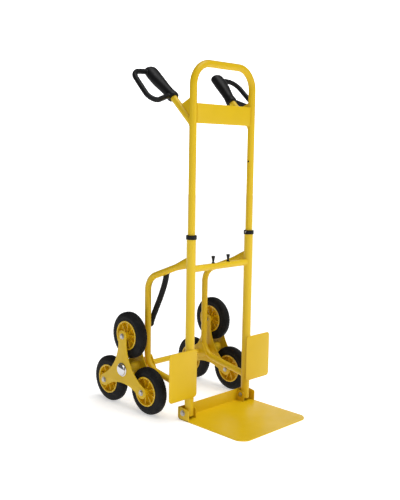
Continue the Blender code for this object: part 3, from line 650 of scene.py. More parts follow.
def drill(item, holes):
    """Cut shapes, such as rods, out of a finished piece."""
    cutter = linked_object("drill", holes)
    change = item.modifiers.new("holes", "BOOLEAN")
    change.object = cutter
    change.solver = "EXACT"
    graph = bpy.context.evaluated_depsgraph_get()
    cut = bpy.data.meshes.new_from_object(item.evaluated_get(graph))
    item.modifiers.remove(change)
    item.data = cut
    mesh = cutter.data
    bpy.data.objects.remove(cutter, do_unlink=True)
    bpy.data.meshes.remove(mesh)


def drill_rod(radius, half, steps):
    return lathe([(0, half), (radius, half), (radius, -half), (0, -half)], steps)


def report(title, *items):
    faces = sum(len(item.data.polygons) for item in items)
    print("%s: %d pieces, %d faces" % (title, len(items), faces))


print("pieces can be made")

# %% [markdown]
# ## The load strap
# The strap is a thick elastic cord in a woven sleeve. It comes out of a socket under the bend of
# the left rear frame, hangs down along the frame's upright, and goes back into a socket above the
# axle. It is held at both ends, so it hangs in one easy curve. A curve object would do, but a mesh
# tube round the same points can swell slightly, as a sleeve does where it is pulled less. Its
# points are the ones that the CAD route was made from, measured from the mast's plane.

# %% Hang the strap
STRAP_DIAMETER = 0.020
FERRULE_GAP = 0.0003
STRAP_LINE_X = middle("load_strap", "X")
STRAP_ROUTE = ((0.1405, 0.4655), (0.1436, 0.4500), (0.1493, 0.4310), (0.1583, 0.4080),
               (0.1700, 0.3820), (0.1835, 0.3550), (0.1975, 0.3275), (0.2100, 0.3020),
               (0.2175, 0.2850))


def smooth(points, per_span):
    """A smooth line through the points."""
    points = [Vector(point) for point in points]
    points = [2 * points[0] - points[1]] + points + [2 * points[-1] - points[-2]]
    line = []
    for before, here, there, after in zip(points, points[1:], points[2:], points[3:]):
        for step in range(per_span):
            t = step / per_span
            bend = 2 * before - 5 * here + 4 * there - after
            twist = 3 * here - before - 3 * there + after
            line.append(0.5 * (2 * here + (there - before) * t + bend * t ** 2 + twist * t ** 3))
    line.append(points[-2])
    return line


def sleeve_size(k):
    """The sleeve swells and shrinks a little, with a period of about four rings."""
    radius = STRAP_DIAMETER / 2 * (1 - 0.012 * math.cos(k * 1.7))
    return radius, radius


strap_line = smooth([(STRAP_LINE_X, mast_y + y, z) for y, z in STRAP_ROUTE], 4)
sleeve = skin(rings_along(strap_line, (1, 0, 0), sleeve_size, sides=24))
strap = piece("load_strap_sleeve", [sleeve], ELASTIC, "chassis", ["load_strap"])
FERRULE = [(0, 0.0121), (0.0074, 0.0121), (0.0088, 0.0111), (0.0098, 0.0092), (0.0101, 0.0062),
           (0.0110, 0.0052), (0.0110, 0.0006), (0.0103, 0), (0, 0)]
for name, end, inner in (("upper", strap_line[0], strap_line[1]),
                         ("lower", strap_line[-1], strap_line[-2])):
    away = (end - inner).normalized()
    aim = Vector((0, 0, 1)).rotation_difference(away).to_matrix().to_4x4()
    ferrule = moved(lathe(FERRULE, 32), at(*(end + away * FERRULE_GAP)) @ aim)
    piece("strap_ferrule_" + name, [ferrule], COLLAR_PLASTIC, "chassis",
                               ["strap_socket_" + name])

# %% [markdown]
# ## Chassis tubes
# The lower mast tubes are straight and open at the bottom, where the dark inside shows. A short
# tube joins them across. Each rear frame is one tube, bent twice; its upper end is pressed flat so
# that it meets the mast in a tall narrow foot, which is stiffer there. The press squeezes the ring
# of points: narrower across and taller up and down, fading out over a hand's width.

# %% Bend the chassis tubes
lower_bottom, lower_top = span("lower_mast_tube_right", "Z")
cross_z = middle("cross_tube", "Z")
cross_radius = reach("cross_tube", "Z")
frame_radius = reach("rear_frame_right", "X")
frame_back = span("rear_frame_right", "Y")[1] - frame_radius - mast_y
FRAME_BEND = 0.060
FRAME_CORNERS = ((0.525, 0), (0.445, 1), (0.1325, 1), (0.096, 0))     # height; 0 mast, 1 back
FLAT_LENGTH = 0.075
FLAT_NARROW, FLAT_TALL = 0.62, 1.60       # times the round tube's half width and half height
INSIDE_MAST = 0.008                       # how far the frame's ends are cut short of the axis
AXLE_TUBE_WALL = 0.0025

frame_line = bent([(0, mast_y + frame_back * back, z) for z, back in FRAME_CORNERS],
                  (0, FRAME_BEND, FRAME_BEND, 0), steps=14)
run = (frame_line[1] - frame_line[0]).normalized()
foot = frame_line[0] + run * INSIDE_MAST
pressed_part = [foot + run * (FLAT_LENGTH * k / 10) for k in range(11)]
end_run = (frame_line[-1] - frame_line[-2]).normalized()
frame_line = pressed_part + frame_line[1:-1] + [frame_line[-1] - end_run * INSIDE_MAST]


def frame_section(k):
    flat = max(0.0, 1 - k / 10)
    flat = flat * flat * (3 - 2 * flat)
    wide, tall = 1 + (FLAT_NARROW - 1) * flat, 1 + (FLAT_TALL - 1) * flat
    return frame_radius * wide, frame_radius * tall


def shifted(line, x):
    return [Vector((x, point.y, point.z)) for point in line]


made = []
for name, side in SIDES.items():
    x = side * mast_x
    straight = [Vector((x, mast_y, z)) for z in (lower_bottom, lower_bottom + 0.001, lower_top)]
    lower = tube(straight, (1, 0, 0), lower_radius, sides=48)
    made.append(piece("lower_mast_skin_" + name, [lower], YELLOW_PAINT, "chassis",
                      ["lower_mast_tube_" + name]))
    frame_tube = tube(shifted(frame_line, x), (1, 0, 0), frame_radius, size=frame_section)
    made.append(piece("rear_frame_skin_" + name, [frame_tube], YELLOW_PAINT, "chassis",
                      ["rear_frame_" + name]))
straight = [Vector((x, mast_y, cross_z)) for x in (-mast_x + 0.01, 0, mast_x - 0.01)]
made.append(piece("cross_tube_skin", [tube(straight, (0, 0, 1), cross_radius)], YELLOW_PAINT,
                  "chassis", ["cross_tube"]))
axle_tube_end = span("axle_tube", "X")[1]
axle_tube_radius = reach("axle_tube", "Z")
straight = [Vector((x, axle_y, axle_z)) for x in (-axle_tube_end, 0, axle_tube_end)]
axle_skin = tube(straight, (0, 0, 1), axle_tube_radius, wall=AXLE_TUBE_WALL)
made.append(piece("axle_tube_skin", [axle_skin], YELLOW_PAINT, "chassis", ["axle_tube"]))
report("chassis tubes", *made)

# %% [markdown]
# ## Sheet metal of the chassis
# The side guards are flat plates with rounded corners, welded to the front of the mast tubes; they
# keep a load off the wheels. The axle brackets tie the axle tube to the rear frames. All are
# laser-cut from sheet, and the powder rounds their edges a little, so the outline gets a soft edge
# of 0.6 or 0.7 mm.

# %% Cut the guards and brackets
GUARD_CORNER = 0.012
BRACKET_RIM = 0.0093          # metal left round the axle tube
BRACKET_TIP = 0.0055          # half width where the bracket ends on the frame
made = []
for name, side in SIDES.items():
    node = "side_guard_" + name
    wide, tall = reach(node, "X"), reach(node, "Z")
    low, high = span(node, "Y")
    corners = [(-wide, -tall, 0), (wide, -tall, 0), (wide, tall, 0), (-wide, tall, 0)]
    plate = pressed([p.xy for p in bent(corners, [GUARD_CORNER] * 4)], high - low, edge=0.0007)
    plate = moved(plate, at_middle(node) @ FACING_Y)
    made.append(piece("guard_plate_" + name, [plate], YELLOW_PAINT, "chassis", [node]))
    node = "axle_bracket_" + name
    rim = axle_tube_radius + BRACKET_RIM
    y, z = axle_y, axle_z
    back = mast_y + frame_back
    corners = [(y + rim, z - rim, 0), (y + rim, z + rim, 0), (back + BRACKET_TIP, z + 2 * rim, 0),
               (back - BRACKET_TIP, z + 2 * rim, 0),
               (back - FRAME_BEND / 2, FRAME_CORNERS[2][0], 0), (y - rim, z - rim, 0)]
    outline = [p.xy for p in bent(corners, (rim * 0.8, rim * 0.8, 0.005, 0.005, 0.005, 0.012))]
    plate = pressed(outline, 2 * reach(node, "X"), [circle(axle_tube_radius + 0.0003, (y, z))])
    plate = moved(plate, at(middle(node, "X"), 0, 0) @ FACING_X)
    made.append(piece("axle_bracket_plate_" + name, [plate], YELLOW_PAINT, "chassis", [node]))
report("sheet metal", *made)

# %% [markdown]
# ## Weld beads
# Where a tube meets the mast, a weld runs all the way round. It is the surest sign that the frame
# is steel and not plastic. The line of a bead is where two cylinders cross: from each point round
# the smaller tube, walk along its axis until the mast's surface is reached. The bead is a thin
# round bar along that line, and its thickness goes up and down a little, one ripple for each drop
# of metal.

# %% Run the welds
BEAD, STITCH_BEAD, AXLE_BEAD, FINE_BEAD = 0.0017, 0.0015, 0.0013, 0.0011      # half thickness
BEAD_LIFT = 0.0002            # a bead's middle lies this far outside the surface it is on
RIPPLE, RIPPLE_STEP = 0.13, 1.9


def weld_line(foot, away, first, second, mast_radius, x, count=72):
    """Where a tube meets the mast tube at x. first and second are the tube's half sizes."""
    line = []
    for s in range(count):
        turn = 2 * math.pi * s / count
        start = foot + first * math.cos(turn) + second * math.sin(turn)
        sx, sy = start.x - x, start.y - mast_y
        a = away.x ** 2 + away.y ** 2
        b = sx * away.x + sy * away.y
        c = sx ** 2 + sy ** 2 - mast_radius ** 2
        line.append(start + away * ((-b + math.sqrt(max(b * b - a * c, 0))) / a))
    return line


def bead(line, loop=True, thick=BEAD, across=(1, 0, 0)):
    """A rippled bar along a line."""
    def ripple(k):
        radius = thick * (1 + RIPPLE * math.sin(k * RIPPLE_STEP))
        return radius, radius
    return skin(rings_along(line, across, ripple, sides=10, loop=loop), loop=loop)


def around_axle(x, radius, count):
    return [Vector((x, axle_y + radius * math.cos(t), axle_z + radius * math.sin(t)))
            for t in (2 * math.pi * s / count for s in range(count))]


def upright_stitch(x, y, low_end, thick):
    """A short straight weld, 27 mm high."""
    return bead([Vector((x, y, low_end + 0.001 * k)) for k in range(28)], loop=False, thick=thick)


frame_foot = run.cross(Vector((1, 0, 0))).normalized()
low_foot = end_run.cross(Vector((1, 0, 0))).normalized()
made = []
for name, side in SIDES.items():
    x = side * mast_x
    inward = Vector((-side, 0, 0))
    top, bottom = (Vector((x, mast_y, FRAME_CORNERS[k][0])) for k in (0, -1))
    joints = (
        (Vector((x, mast_y, cross_z)), inward, Vector((0, cross_radius, 0)),
         Vector((0, 0, cross_radius)), FINE_BEAD),
        (top, run, Vector((frame_radius * FLAT_NARROW, 0, 0)),
         frame_foot * frame_radius * FLAT_TALL, BEAD),
        (bottom, -end_run, Vector((frame_radius, 0, 0)), low_foot * frame_radius, BEAD))
    beads = [bead(weld_line(foot, away, first, second, lower_radius, x), thick=thick, across=away)
             for foot, away, first, second, thick in joints]
    guard_back = span("side_guard_" + name, "Y")[1]
    beads += [upright_stitch(x + turn * 0.0042, guard_back + 0.0009, low_end, STITCH_BEAD)
              for turn in (-1, 1) for low_end in (0.100, 0.190)]
    made.append(piece("chassis_welds_" + name, beads, YELLOW_PAINT, "chassis"))
    node = "axle_bracket_" + name
    inner = middle(node, "X") - side * (reach(node, "X") + BEAD_LIFT)
    ring = bead(around_axle(inner, axle_tube_radius, 60), thick=AXLE_BEAD)
    made.append(piece("axle_welds_" + name, [ring], YELLOW_PAINT, "chassis"))
report("welds", *made)

# %% [markdown]
# ## Collars, lock buttons and hook posts
# A moulded collar guides the sliding tube where it leaves the lower one, with upright grip flutes
# round it, and a spring button in it locks the height. The flutes come from the lathe too: the
# radius of each point is pulled in a little wherever a flute runs. The hole for the button is
# drilled through the collar with a little play all round, so the button can move in it. The two
# posts on the cross tube look like golf tees; the strap is hooked over them.

# %% Turn the small black parts
def fluted(shape, count, depth, low, high):
    """Press upright flutes into a turned shape, between two heights."""
    points, faces = shape
    changed = []
    for point in points:
        amount = depth * max(0.0, math.cos(count * math.atan2(point.y, point.x))) ** 3
        inside = low < point.z < high
        pull = 1 - inside * amount
        changed.append(Vector((point.x * pull, point.y * pull, point.z)))
    return changed, faces


BUTTON_GAP = 0.0003
made = []
for name, side in SIDES.items():
    low, high = span("collar_" + name, "Z")
    outer = reach("collar_" + name, "Y")
    bore = upper_radius + 0.0005
    tall = high - low
    profile = [(bore, tall), (outer - 0.0022, tall), (outer - 0.0008, tall - 0.0005),
               (outer - 0.0001, tall - 0.0018), (outer, tall - 0.003), (outer, tall * 0.5),
               (outer, 0.003), (outer, 0.0012), (outer - 0.0006, 0.0002), (outer - 0.0014, 0),
               (lower_radius - 0.001, 0), (bore, 0.004)]
    shape = fluted(lathe(profile, 96, ring=True), 12, 0.045, 0.0026, tall - 0.0026)
    shape = moved(shape, at(side * mast_x, mast_y, low))
    collar = piece("guide_collar_" + name, [shape], COLLAR_PLASTIC, "chassis", ["collar_" + name])
    node = "lock_button_" + name
    radius, z = reach(node, "Z"), middle(node, "Z")
    rod = drill_rod(radius + BUTTON_GAP, 0.008, 24)
    drill(collar, [moved(rod, at(side * (mast_x - outer), mast_y, z) @ along_x(side))])
    made.append(collar)
    inner, outer_face = sorted(span(node, "X"), key=lambda x: -side * x)
    length = abs(outer_face - inner)
    profile = [(0, length), (radius * 0.55, length - 0.00015), (radius * 0.85, length - 0.0006),
               (radius, length - 0.0013), (radius, 0.0004), (radius * 0.8, 0), (0, 0)]
    button = moved(lathe(profile, 24), at(inner, mast_y, z) @ along_x(-side))
    made.append(piece("spring_button_" + name, [button], ZINC, "lock_" + name, [node]))
    node = "hook_post_" + name
    low, high = span(node, "Z")
    top = reach(node, "X")
    tall = high - low
    profile = [(0, tall), (top * 0.6, tall), (top * 0.88, tall - 0.0004), (top * 0.99, tall * 0.94),
               (top, tall * 0.90), (top * 0.93, tall * 0.80), (top * 0.78, tall * 0.62),
               (top * 0.62, tall * 0.42), (top * 0.53, tall * 0.22), (top * 0.56, tall * 0.12),
               (top * 0.9, tall * 0.055), (top * 0.92, 0), (0, 0)]
    post = moved(lathe(profile, 36), at(middle(node, "X"), mast_y, low))
    made.append(piece("strap_post_" + name, [post], COLLAR_PLASTIC, "chassis", [node]))
report("small black parts", *made)

# %% [markdown]
# ## The sliding mast
# One tube, bent to a loop, slides in the two lower tubes. The holes for the lock buttons are
# drilled through its inner walls, so each shows as a small dark spot. They are real holes here as
# well: a boolean cuts them, and the tube has a wall, so the hole has depth. Behind each upper hole
# a thin black sleeve stands in the tube as painted shade, so the hole looks into darkness. The
# plate between the legs is where a name would go; it stays blank.

# %% Bend the mast and drill it
loop_low, loop_high = span("mast_loop", "Z")
LOOP_BEND = 0.070
top_line = loop_high - upper_radius
corners = [(-mast_x, mast_y, loop_low), (-mast_x, mast_y, top_line), (mast_x, mast_y, top_line),
           (mast_x, mast_y, loop_low)]
loop_line = bent(corners, (0, LOOP_BEND, LOOP_BEND, 0), steps=22)
button_z = middle("lock_button_left", "Z")
mast_travel = -min(joint["range_m"][0] for joint in frame["record"]["behaviour"]["joints"]
                   if joint["name"] == "mast_slide")
HOLE_RADIUS = 0.0040
SLEEVE_WALL, SLEEVE_HALF = 0.0015, 0.012
loop = tube(loop_line, (0, 1, 0), upper_radius, sides=40)
mast = piece("mast_loop_skin", [loop], YELLOW_PAINT, "mast", ["mast_loop"])
drill(mast, [moved(drill_rod(HOLE_RADIUS, 0.006, 20),
                   at(side * (mast_x - upper_radius), mast_y, z) @ along_x(side))
             for side in SIDES.values() for z in (button_z, button_z + mast_travel)])

# Painted shade: a black sleeve inside the tube behind each upper hole, so the hole looks dark.
outside = upper_radius - TUBE_WALL - 0.0002
inside = outside - SLEEVE_WALL
low, high = button_z + mast_travel - SLEEVE_HALF, button_z + mast_travel + SLEEVE_HALF
sleeve = lathe([(inside, low), (outside, low), (outside, high), (inside, high)], 36, ring=True)
shade_sleeves = [piece("painted_shade_sleeve_" + name, [moved(sleeve, at(side * mast_x, mast_y, 0))],
                  COLLAR_PLASTIC, "mast") for name, side in SIDES.items()]

plate_low, plate_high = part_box("name_plate")
plate_y = (plate_low[1] + plate_high[1]) / 2
wide, tall = mast_x - upper_radius * 0.93, reach("name_plate", "Z")
corners = [(-wide, -tall), (wide, -tall), (wide, tall), (-wide, tall)]
blank = pressed(corners, plate_high[1] - plate_low[1], edge=0.0005)
blank = moved(blank, at(0, plate_y, middle("name_plate", "Z")) @ FACING_Y)
name_plate = piece("blank_name_plate", [blank], YELLOW_PAINT, "mast", ["name_plate"])
report("mast", mast, *shade_sleeves, name_plate)

# %% [markdown]
# ## Handle tubes and gussets
# Each handle tube leaves the mast at a slant, up and back. A small three-cornered plate stands in
# the corner above it, so that a push on the grip does not fold the tube down. The tube ends inside
# the grip.

# %% Set the handle tubes
HANDLE_FOOT = 0.961
HANDLE_ANGLE = math.radians(43.5)
GRIP_START = 0.1235
GUSSET_DEPTH, GUSSET_THICK = 0.050, 0.004
HANDLE_RADIUS = 0.01125
outward = Vector((0, math.cos(HANDLE_ANGLE), math.sin(HANDLE_ANGLE)))
upward = Vector((0, -math.sin(HANDLE_ANGLE), math.cos(HANDLE_ANGLE)))
made = []
for name, side in SIDES.items():
    x = side * mast_x
    foot = Vector((x, mast_y, HANDLE_FOOT))
    line = [foot + outward * distance for distance in (0.006, 0.05, GRIP_START + 0.03)]
    made.append(piece("handle_tube_skin_" + name, [tube(line, (1, 0, 0), HANDLE_RADIUS)],
                      YELLOW_PAINT, "mast", ["handle_tube_" + name]))
    clear = HANDLE_RADIUS - 0.0004
    root = foot + upward * clear
    lead = clear * math.tan(HANDLE_ANGLE)
    start = root + outward * (lead + 0.008)
    end = root + outward * (lead + GUSSET_DEPTH / math.cos(HANDLE_ANGLE))
    top = span("handle_gusset_" + name, "Z")[1]
    corners = [(start.y, start.z, 0), (end.y, end.z, 0), (end.y - 0.002, end.z + 0.004, 0),
               (start.y, top, 0)]
    plate = pressed([p.xy for p in bent(corners, (0, 0, 0.003, 0))], GUSSET_THICK, edge=0.0006)
    made.append(piece("gusset_plate_" + name, [moved(plate, at(x, 0, 0) @ FACING_X)], YELLOW_PAINT,
                      "mast", ["handle_gusset_" + name]))
    ring = weld_line(foot, outward, Vector((HANDLE_RADIUS, 0, 0)), upward * HANDLE_RADIUS,
                     upper_radius, x)
    beads = [bead(ring, across=outward)]
    plate_end = side * (mast_x - upper_radius - BEAD_LIFT)
    beads += [upright_stitch(plate_end, plate_y + turn * 0.0014, low_end, FINE_BEAD)
              for turn in (-1, 1) for low_end in (plate_low[2] + 0.002, plate_high[2] - 0.030)]
    made.append(piece("mast_welds_" + name, beads, YELLOW_PAINT, "mast"))
report("handles", *made)

# %% [markdown]
# ## D-grips
# Each row of the sections says how far along the grip it lies, how far it is shifted outward, and
# its half width and half height. The grip is one moulding: an oval handle that swells towards its
# end, and a bar that loops round the knuckles and flows into the handle. Two skins that only cross
# would show a hard line where they meet. A real moulding has a soft fillet there, so both skins
# are melted into one with a voxel remesh, and a few rounds of smoothing spread the joint out. That
# keeps the shape and makes the fillet by itself.

# %% Mould the grips
GRIP_SECTIONS = (
    (0.000, 0.0000, 0.0175, 0.0170), (0.004, 0.0000, 0.0195, 0.0185),
    (0.014, 0.0010, 0.0195, 0.0180), (0.026, 0.0035, 0.0185, 0.0162),
    (0.045, 0.0080, 0.0200, 0.0165), (0.080, 0.0145, 0.0245, 0.0182),
    (0.110, 0.0170, 0.0258, 0.0185), (0.131, 0.0175, 0.0248, 0.0170),
    (0.137, 0.0175, 0.0205, 0.0124))
GUARD_REACH = 0.113
GUARD_DROP = 0.032
GUARD_HALF = 0.0086
MELT = 0.0015             # size of the melt's cells
GRIP_STEPS = 40


def squarish(part):
    """Pulls a sine or cosine outward a little, so that an oval gets fuller corners."""
    return math.copysign(abs(part) ** 0.9, part)


def melt(item, rounds, keep):
    """Melt the crossing skins of a piece into one, smooth it, and thin out its faces."""
    remesh = item.modifiers.new("melt", "REMESH")
    remesh.mode = "VOXEL"
    remesh.voxel_size = MELT
    calm = item.modifiers.new("calm", "SMOOTH")
    calm.factor = 0.5
    calm.iterations = rounds
    thin = item.modifiers.new("thin", "DECIMATE")
    thin.ratio = keep
    graph = bpy.context.evaluated_depsgraph_get()
    mesh = bpy.data.meshes.new_from_object(item.evaluated_get(graph))
    item.modifiers.clear()
    mesh.materials.clear()
    mesh.materials.append(item.data.materials[0])
    item.data = mesh
    mesh.shade_smooth()


made = []
for name, side in SIDES.items():
    spread = smooth([(section[0], section[1], section[2]) for section in GRIP_SECTIONS], 5)
    thick = smooth([(section[0], section[3], 0) for section in GRIP_SECTIONS], 5)
    line = [Vector((side * point.y, 0, point.x)) for point in spread]
    turns = [2 * math.pi * s / GRIP_STEPS for s in range(GRIP_STEPS)]
    handle = skin([[Vector((centre.x + point.z * squarish(math.cos(t)),
                            other.y * squarish(math.sin(t)), centre.z)) for t in turns]
                   for centre, point, other in zip(line, spread, thick)])
    top = GRIP_SECTIONS[-1][0] - GUARD_HALF - 0.0015
    route = ((0.012, top), (GUARD_REACH - 0.008, top - 0.009), (GUARD_REACH, -GUARD_DROP),
             (0.026, 0.006), (0, 0.011))
    corners = [(side * x, 0, z) for x, z in route]
    bar_line = bent(corners, (0, 0.040, 0.028, 0.014, 0), steps=12)
    bar = skin(rings_along(bar_line, (0, 1, 0), (0.0080, GUARD_HALF), sides=24, squareness=2.6))
    lean = Matrix.Rotation(HANDLE_ANGLE - math.pi / 2, 4, "X")
    home = at(*(Vector((side * mast_x, mast_y, HANDLE_FOOT)) + outward * GRIP_START)) @ lean
    grip = piece("moulded_grip_" + name, [moved(handle, home), moved(bar, home)], GRIP_PLASTIC,
                 "mast", ["grip_" + name], weld=0)
    melt(grip, 8, 0.35)
    made.append(grip)
report("grips", *made)

# %% [markdown]
# ## Toe plate
# The toe plate is one pressed sheet: the deck, a bend, and a low wall behind. A box with a box on
# it would have no bend, and the bend is where the light catches. So the sheet is drawn once from
# the side, as an outline with the bend's two radii, and that outline is repeated across the truck.
# Near the ends its front edge is drawn back, which rounds the deck's front corners. Ears at the
# ends hold the pivot bolts, and each has a lug opposite it on the inside of the mast tube.

# %% Press the toe plate
toe_half = span("toe_plate", "X")[1]
toe_front = span("toe_plate", "Y")[0]
TOE_SHEET, WALL_SHEET = 0.003, 0.0022
WALL_TOP, WALL_CLEAR = 0.0435, 0.0048
wall_face = mast_y + lower_radius + WALL_CLEAR
wall_back = wall_face + WALL_SHEET
TOE_CORNER = 0.030
CORNER_CUT = 1.55         # 1 would cut the corner straight, 2 would round it as a circle does
BEND_INSIDE, BEND_OUTSIDE = 0.0018, 0.0042
SOFT = 0.0006             # the powder rounds every edge of the sheet by this much
BOLT_HOLE = 0.0043
EAR_HALF, LUG_THICK = 0.0015, 0.0025


def arc(centre, radius, start, end, steps):
    turns = (math.radians(start + (end - start) * s / steps) for s in range(steps + 1))
    return [(centre[0] + radius * math.cos(t), centre[1] + radius * math.sin(t)) for t in turns]


def toe_section(front):
    """The sheet seen from the side, as (y, z) points in one order."""
    side_view = [(front + SOFT, 0)]
    side_view += arc((wall_back - BEND_OUTSIDE, BEND_OUTSIDE), BEND_OUTSIDE, -90, 0, 8)
    side_view += arc((wall_back - SOFT, WALL_TOP - SOFT), SOFT, 0, 90, 2)
    inner = wall_back - WALL_SHEET
    side_view += arc((inner + SOFT, WALL_TOP - SOFT), SOFT, 90, 180, 2)
    side_view += arc((inner - BEND_INSIDE, TOE_SHEET + BEND_INSIDE), BEND_INSIDE, 0, -90, 6)
    side_view += [(front + SOFT, TOE_SHEET)]
    side_view += arc((front + SOFT, TOE_SHEET - SOFT), SOFT, 100, 180, 2)
    side_view += arc((front + SOFT, SOFT), SOFT, 180, 260, 2)
    return side_view


def side_plate(y_and_z, radii, thick, x):
    """A flat plate across the truck at x, with a hole for the pivot bolt."""
    outline = [p.xy for p in bent([(y, z, 0) for y, z in y_and_z], radii, steps=8)]
    plate = pressed(outline, thick, [circle(BOLT_HOLE, (pivot_y, pivot_z), 24)])
    return moved(plate, at(x, 0, 0) @ FACING_X)


plain_half = toe_half - TOE_CORNER
places = [math.sin(math.pi / 2 * s / 12) * TOE_CORNER for s in range(13)]
places = sorted([-(plain_half + p) for p in places] + [plain_half * k / 8 for k in range(-7, 8)]
                + [plain_half + p for p in places])
rings = []
for x in places:
    over = max(0.0, abs(x) - plain_half)
    left = max(1 - (over / TOE_CORNER) ** CORNER_CUT, 0)
    front = toe_front + TOE_CORNER * (1 - left ** (1 / CORNER_CUT))
    rings.append([Vector((x, y, z)) for y, z in toe_section(front)])
pivot_y = middle("toe_pivot_bolt_left", "Y")
pivot_z = middle("toe_pivot_bolt_left", "Z")
ear_front, ear_back = mast_y - 0.024, mast_y + 0.027
ear = ((ear_front, SOFT), (ear_back, SOFT), (ear_back, 0.045), (ear_front, 0.038))
shapes = [skin(rings)]
shapes += [side_plate(ear, (0, 0.010, 0.006, 0.006), 2 * EAR_HALF, side * (toe_half - EAR_HALF))
           for side in SIDES.values()]
made = [piece("toe_plate_sheet", shapes, YELLOW_PAINT, "toe", ["toe_plate"], crease=40)]
lug_front, lug_back = mast_y - 0.014, wall_face - 0.0004
lug = ((lug_front, TOE_SHEET), (lug_back, TOE_SHEET), (lug_back, 0.041), (lug_front, 0.037))
for name, side in SIDES.items():
    node = "toe_lug_" + name
    x = middle(node, "X")
    plate = side_plate(lug, (0, 0, 0.006, 0.010), LUG_THICK, x)
    made.append(piece("toe_lug_plate_" + name, [plate], YELLOW_PAINT, "toe", [node]))
    stitch = [Vector((x - side * 0.0016, mast_y - 0.012 + 0.001 * k, TOE_SHEET + 0.0004))
              for k in range(30)]
    weld = bead(stitch, loop=False, thick=FINE_BEAD)
    made.append(piece("toe_welds_" + name, [weld], YELLOW_PAINT, "toe"))
report("toe plate", *made)

# %% [markdown]
# ## Bolts and nuts
# The wheels and the toe plate turn on bolts of eight millimetres. A bolt head is a six-sided prism
# whose corners are turned off, standing on a washer. A prism with sharp corners looks drawn, not
# made, so the head is cut by a cone: the radius of each point is the smaller of the hexagon's and
# the cone's.

# %% Make the bolts
HEAD_WIDTH, HEAD_HEIGHT, NUT_HEIGHT = 0.0130, 0.0036, 0.0032
WASHER_HEIGHT, WASHER_FOOT = 0.0014, -0.005
STUD_RADIUS = 0.0040


def hexagon(width, height, chamfer=0.0007, steps=60):
    """A six-sided head with its top corners turned off. width is across the flats."""
    flat = width / 2
    levels = ((0.0, 2 * flat), (height - chamfer, flat * 1.155),
              (height - chamfer * 0.35, flat * 1.06), (height, flat * 0.97))
    rings = []
    for z, limit in levels:
        ring = []
        for s in range(steps):
            turn = 2 * math.pi * s / steps
            six = flat / math.cos((turn + math.pi / 6) % (math.pi / 3) - math.pi / 6)
            radius = min(six, limit)
            ring.append(Vector((radius * math.cos(turn), radius * math.sin(turn), z)))
        rings.append(ring)
    return skin(rings)


def washer(radius, height):
    return lathe([(0, 0), (radius, 0), (radius, height * 0.7), (radius - 0.0004, height),
                  (0, height)], 40)


def bolt_shapes(node, side, turn):
    """Head and washer outside, washer, nut and thread end inside, along X in the node's box."""
    inner, outer = sorted(span(node, "X"), key=lambda x: side * x)
    y, z = middle(node, "Y"), middle(node, "Z")
    spin = Matrix.Rotation(turn, 4, "Z")
    head = at(outer, y, z) @ along_x(side) @ spin
    nut = at(inner, y, z) @ along_x(-side) @ spin
    radius = reach(node, "Z")
    length = abs(outer - inner) - 0.004
    stud = lathe([(0, 0), (STUD_RADIUS, 0), (STUD_RADIUS, length), (0, length)], 24)
    thread_end = lathe([(0, 0), (0.0032, 0), (0.0038, -0.0006), (0.0038, -0.003), (0, -0.003)], 24)
    return [moved(washer(radius, WASHER_HEIGHT), head @ at(0, 0, WASHER_FOOT)),
            moved(hexagon(HEAD_WIDTH, HEAD_HEIGHT), head @ at(0, 0, -HEAD_HEIGHT)),
            moved(washer(radius * 0.85, WASHER_HEIGHT), nut @ at(0, 0, WASHER_FOOT)),
            moved(hexagon(HEAD_WIDTH, NUT_HEIGHT), nut @ at(0, 0, -HEAD_HEIGHT)),
            moved(thread_end, nut),
            moved(stud, at(inner + side * 0.002, y, z) @ along_x(side))]


made = [piece("toe_bolt_" + name, bolt_shapes("toe_pivot_bolt_" + name, side, 0.35), ZINC,
              "chassis", ["toe_pivot_bolt_" + name]) for name, side in SIDES.items()]
report("toe bolts", *made)

# %% [markdown]
# ## Star clusters
# Two pressed stars hold three wheels between them. Each arm ends in a round tip, and a wide hollow
# curve leads from arm to arm, which keeps the sheet from cracking at a sharp inner corner. The
# outline is worked out: the hollow's circle has to touch both arms, so its radius follows from the
# angle between them, the tip and the waist. The hub barrel between the stars runs on the axle rod.

# %% Press the stars and turn the hubs
ARMS = 3
ARM_STEP = 2 * math.pi / ARMS
STAR_TIP, STAR_WAIST = 0.0205, 0.047
ROD_HOLE, HUB_HOLE = 0.0066, 0.0178       # the outer star sits on the rod, the inner one on the hub
STAR_BEAD = 0.0014


def unit(angle):
    return Vector((math.cos(angle), math.sin(angle)))


def star_outline(steps=14):
    half = ARM_STEP / 2
    hollow = (STAR_WAIST * math.sin(half) - STAR_TIP) / (1 - math.sin(half))
    centre = STAR_WAIST + hollow
    line = []
    for arm in range(ARMS):
        angle = math.pi / 2 + arm * ARM_STEP
        tip = unit(angle) * arm_length
        line += [tip + unit(angle - math.pi / 2 + math.pi * s / steps) * STAR_TIP
                 for s in range(steps + 1)]
        valley = angle + half
        line += [unit(valley) * centre
                 + unit(valley + math.pi + (math.pi / 2 - half) * (1 - 2 * s / steps)) * hollow
                 for s in range(steps + 1)]
    return line


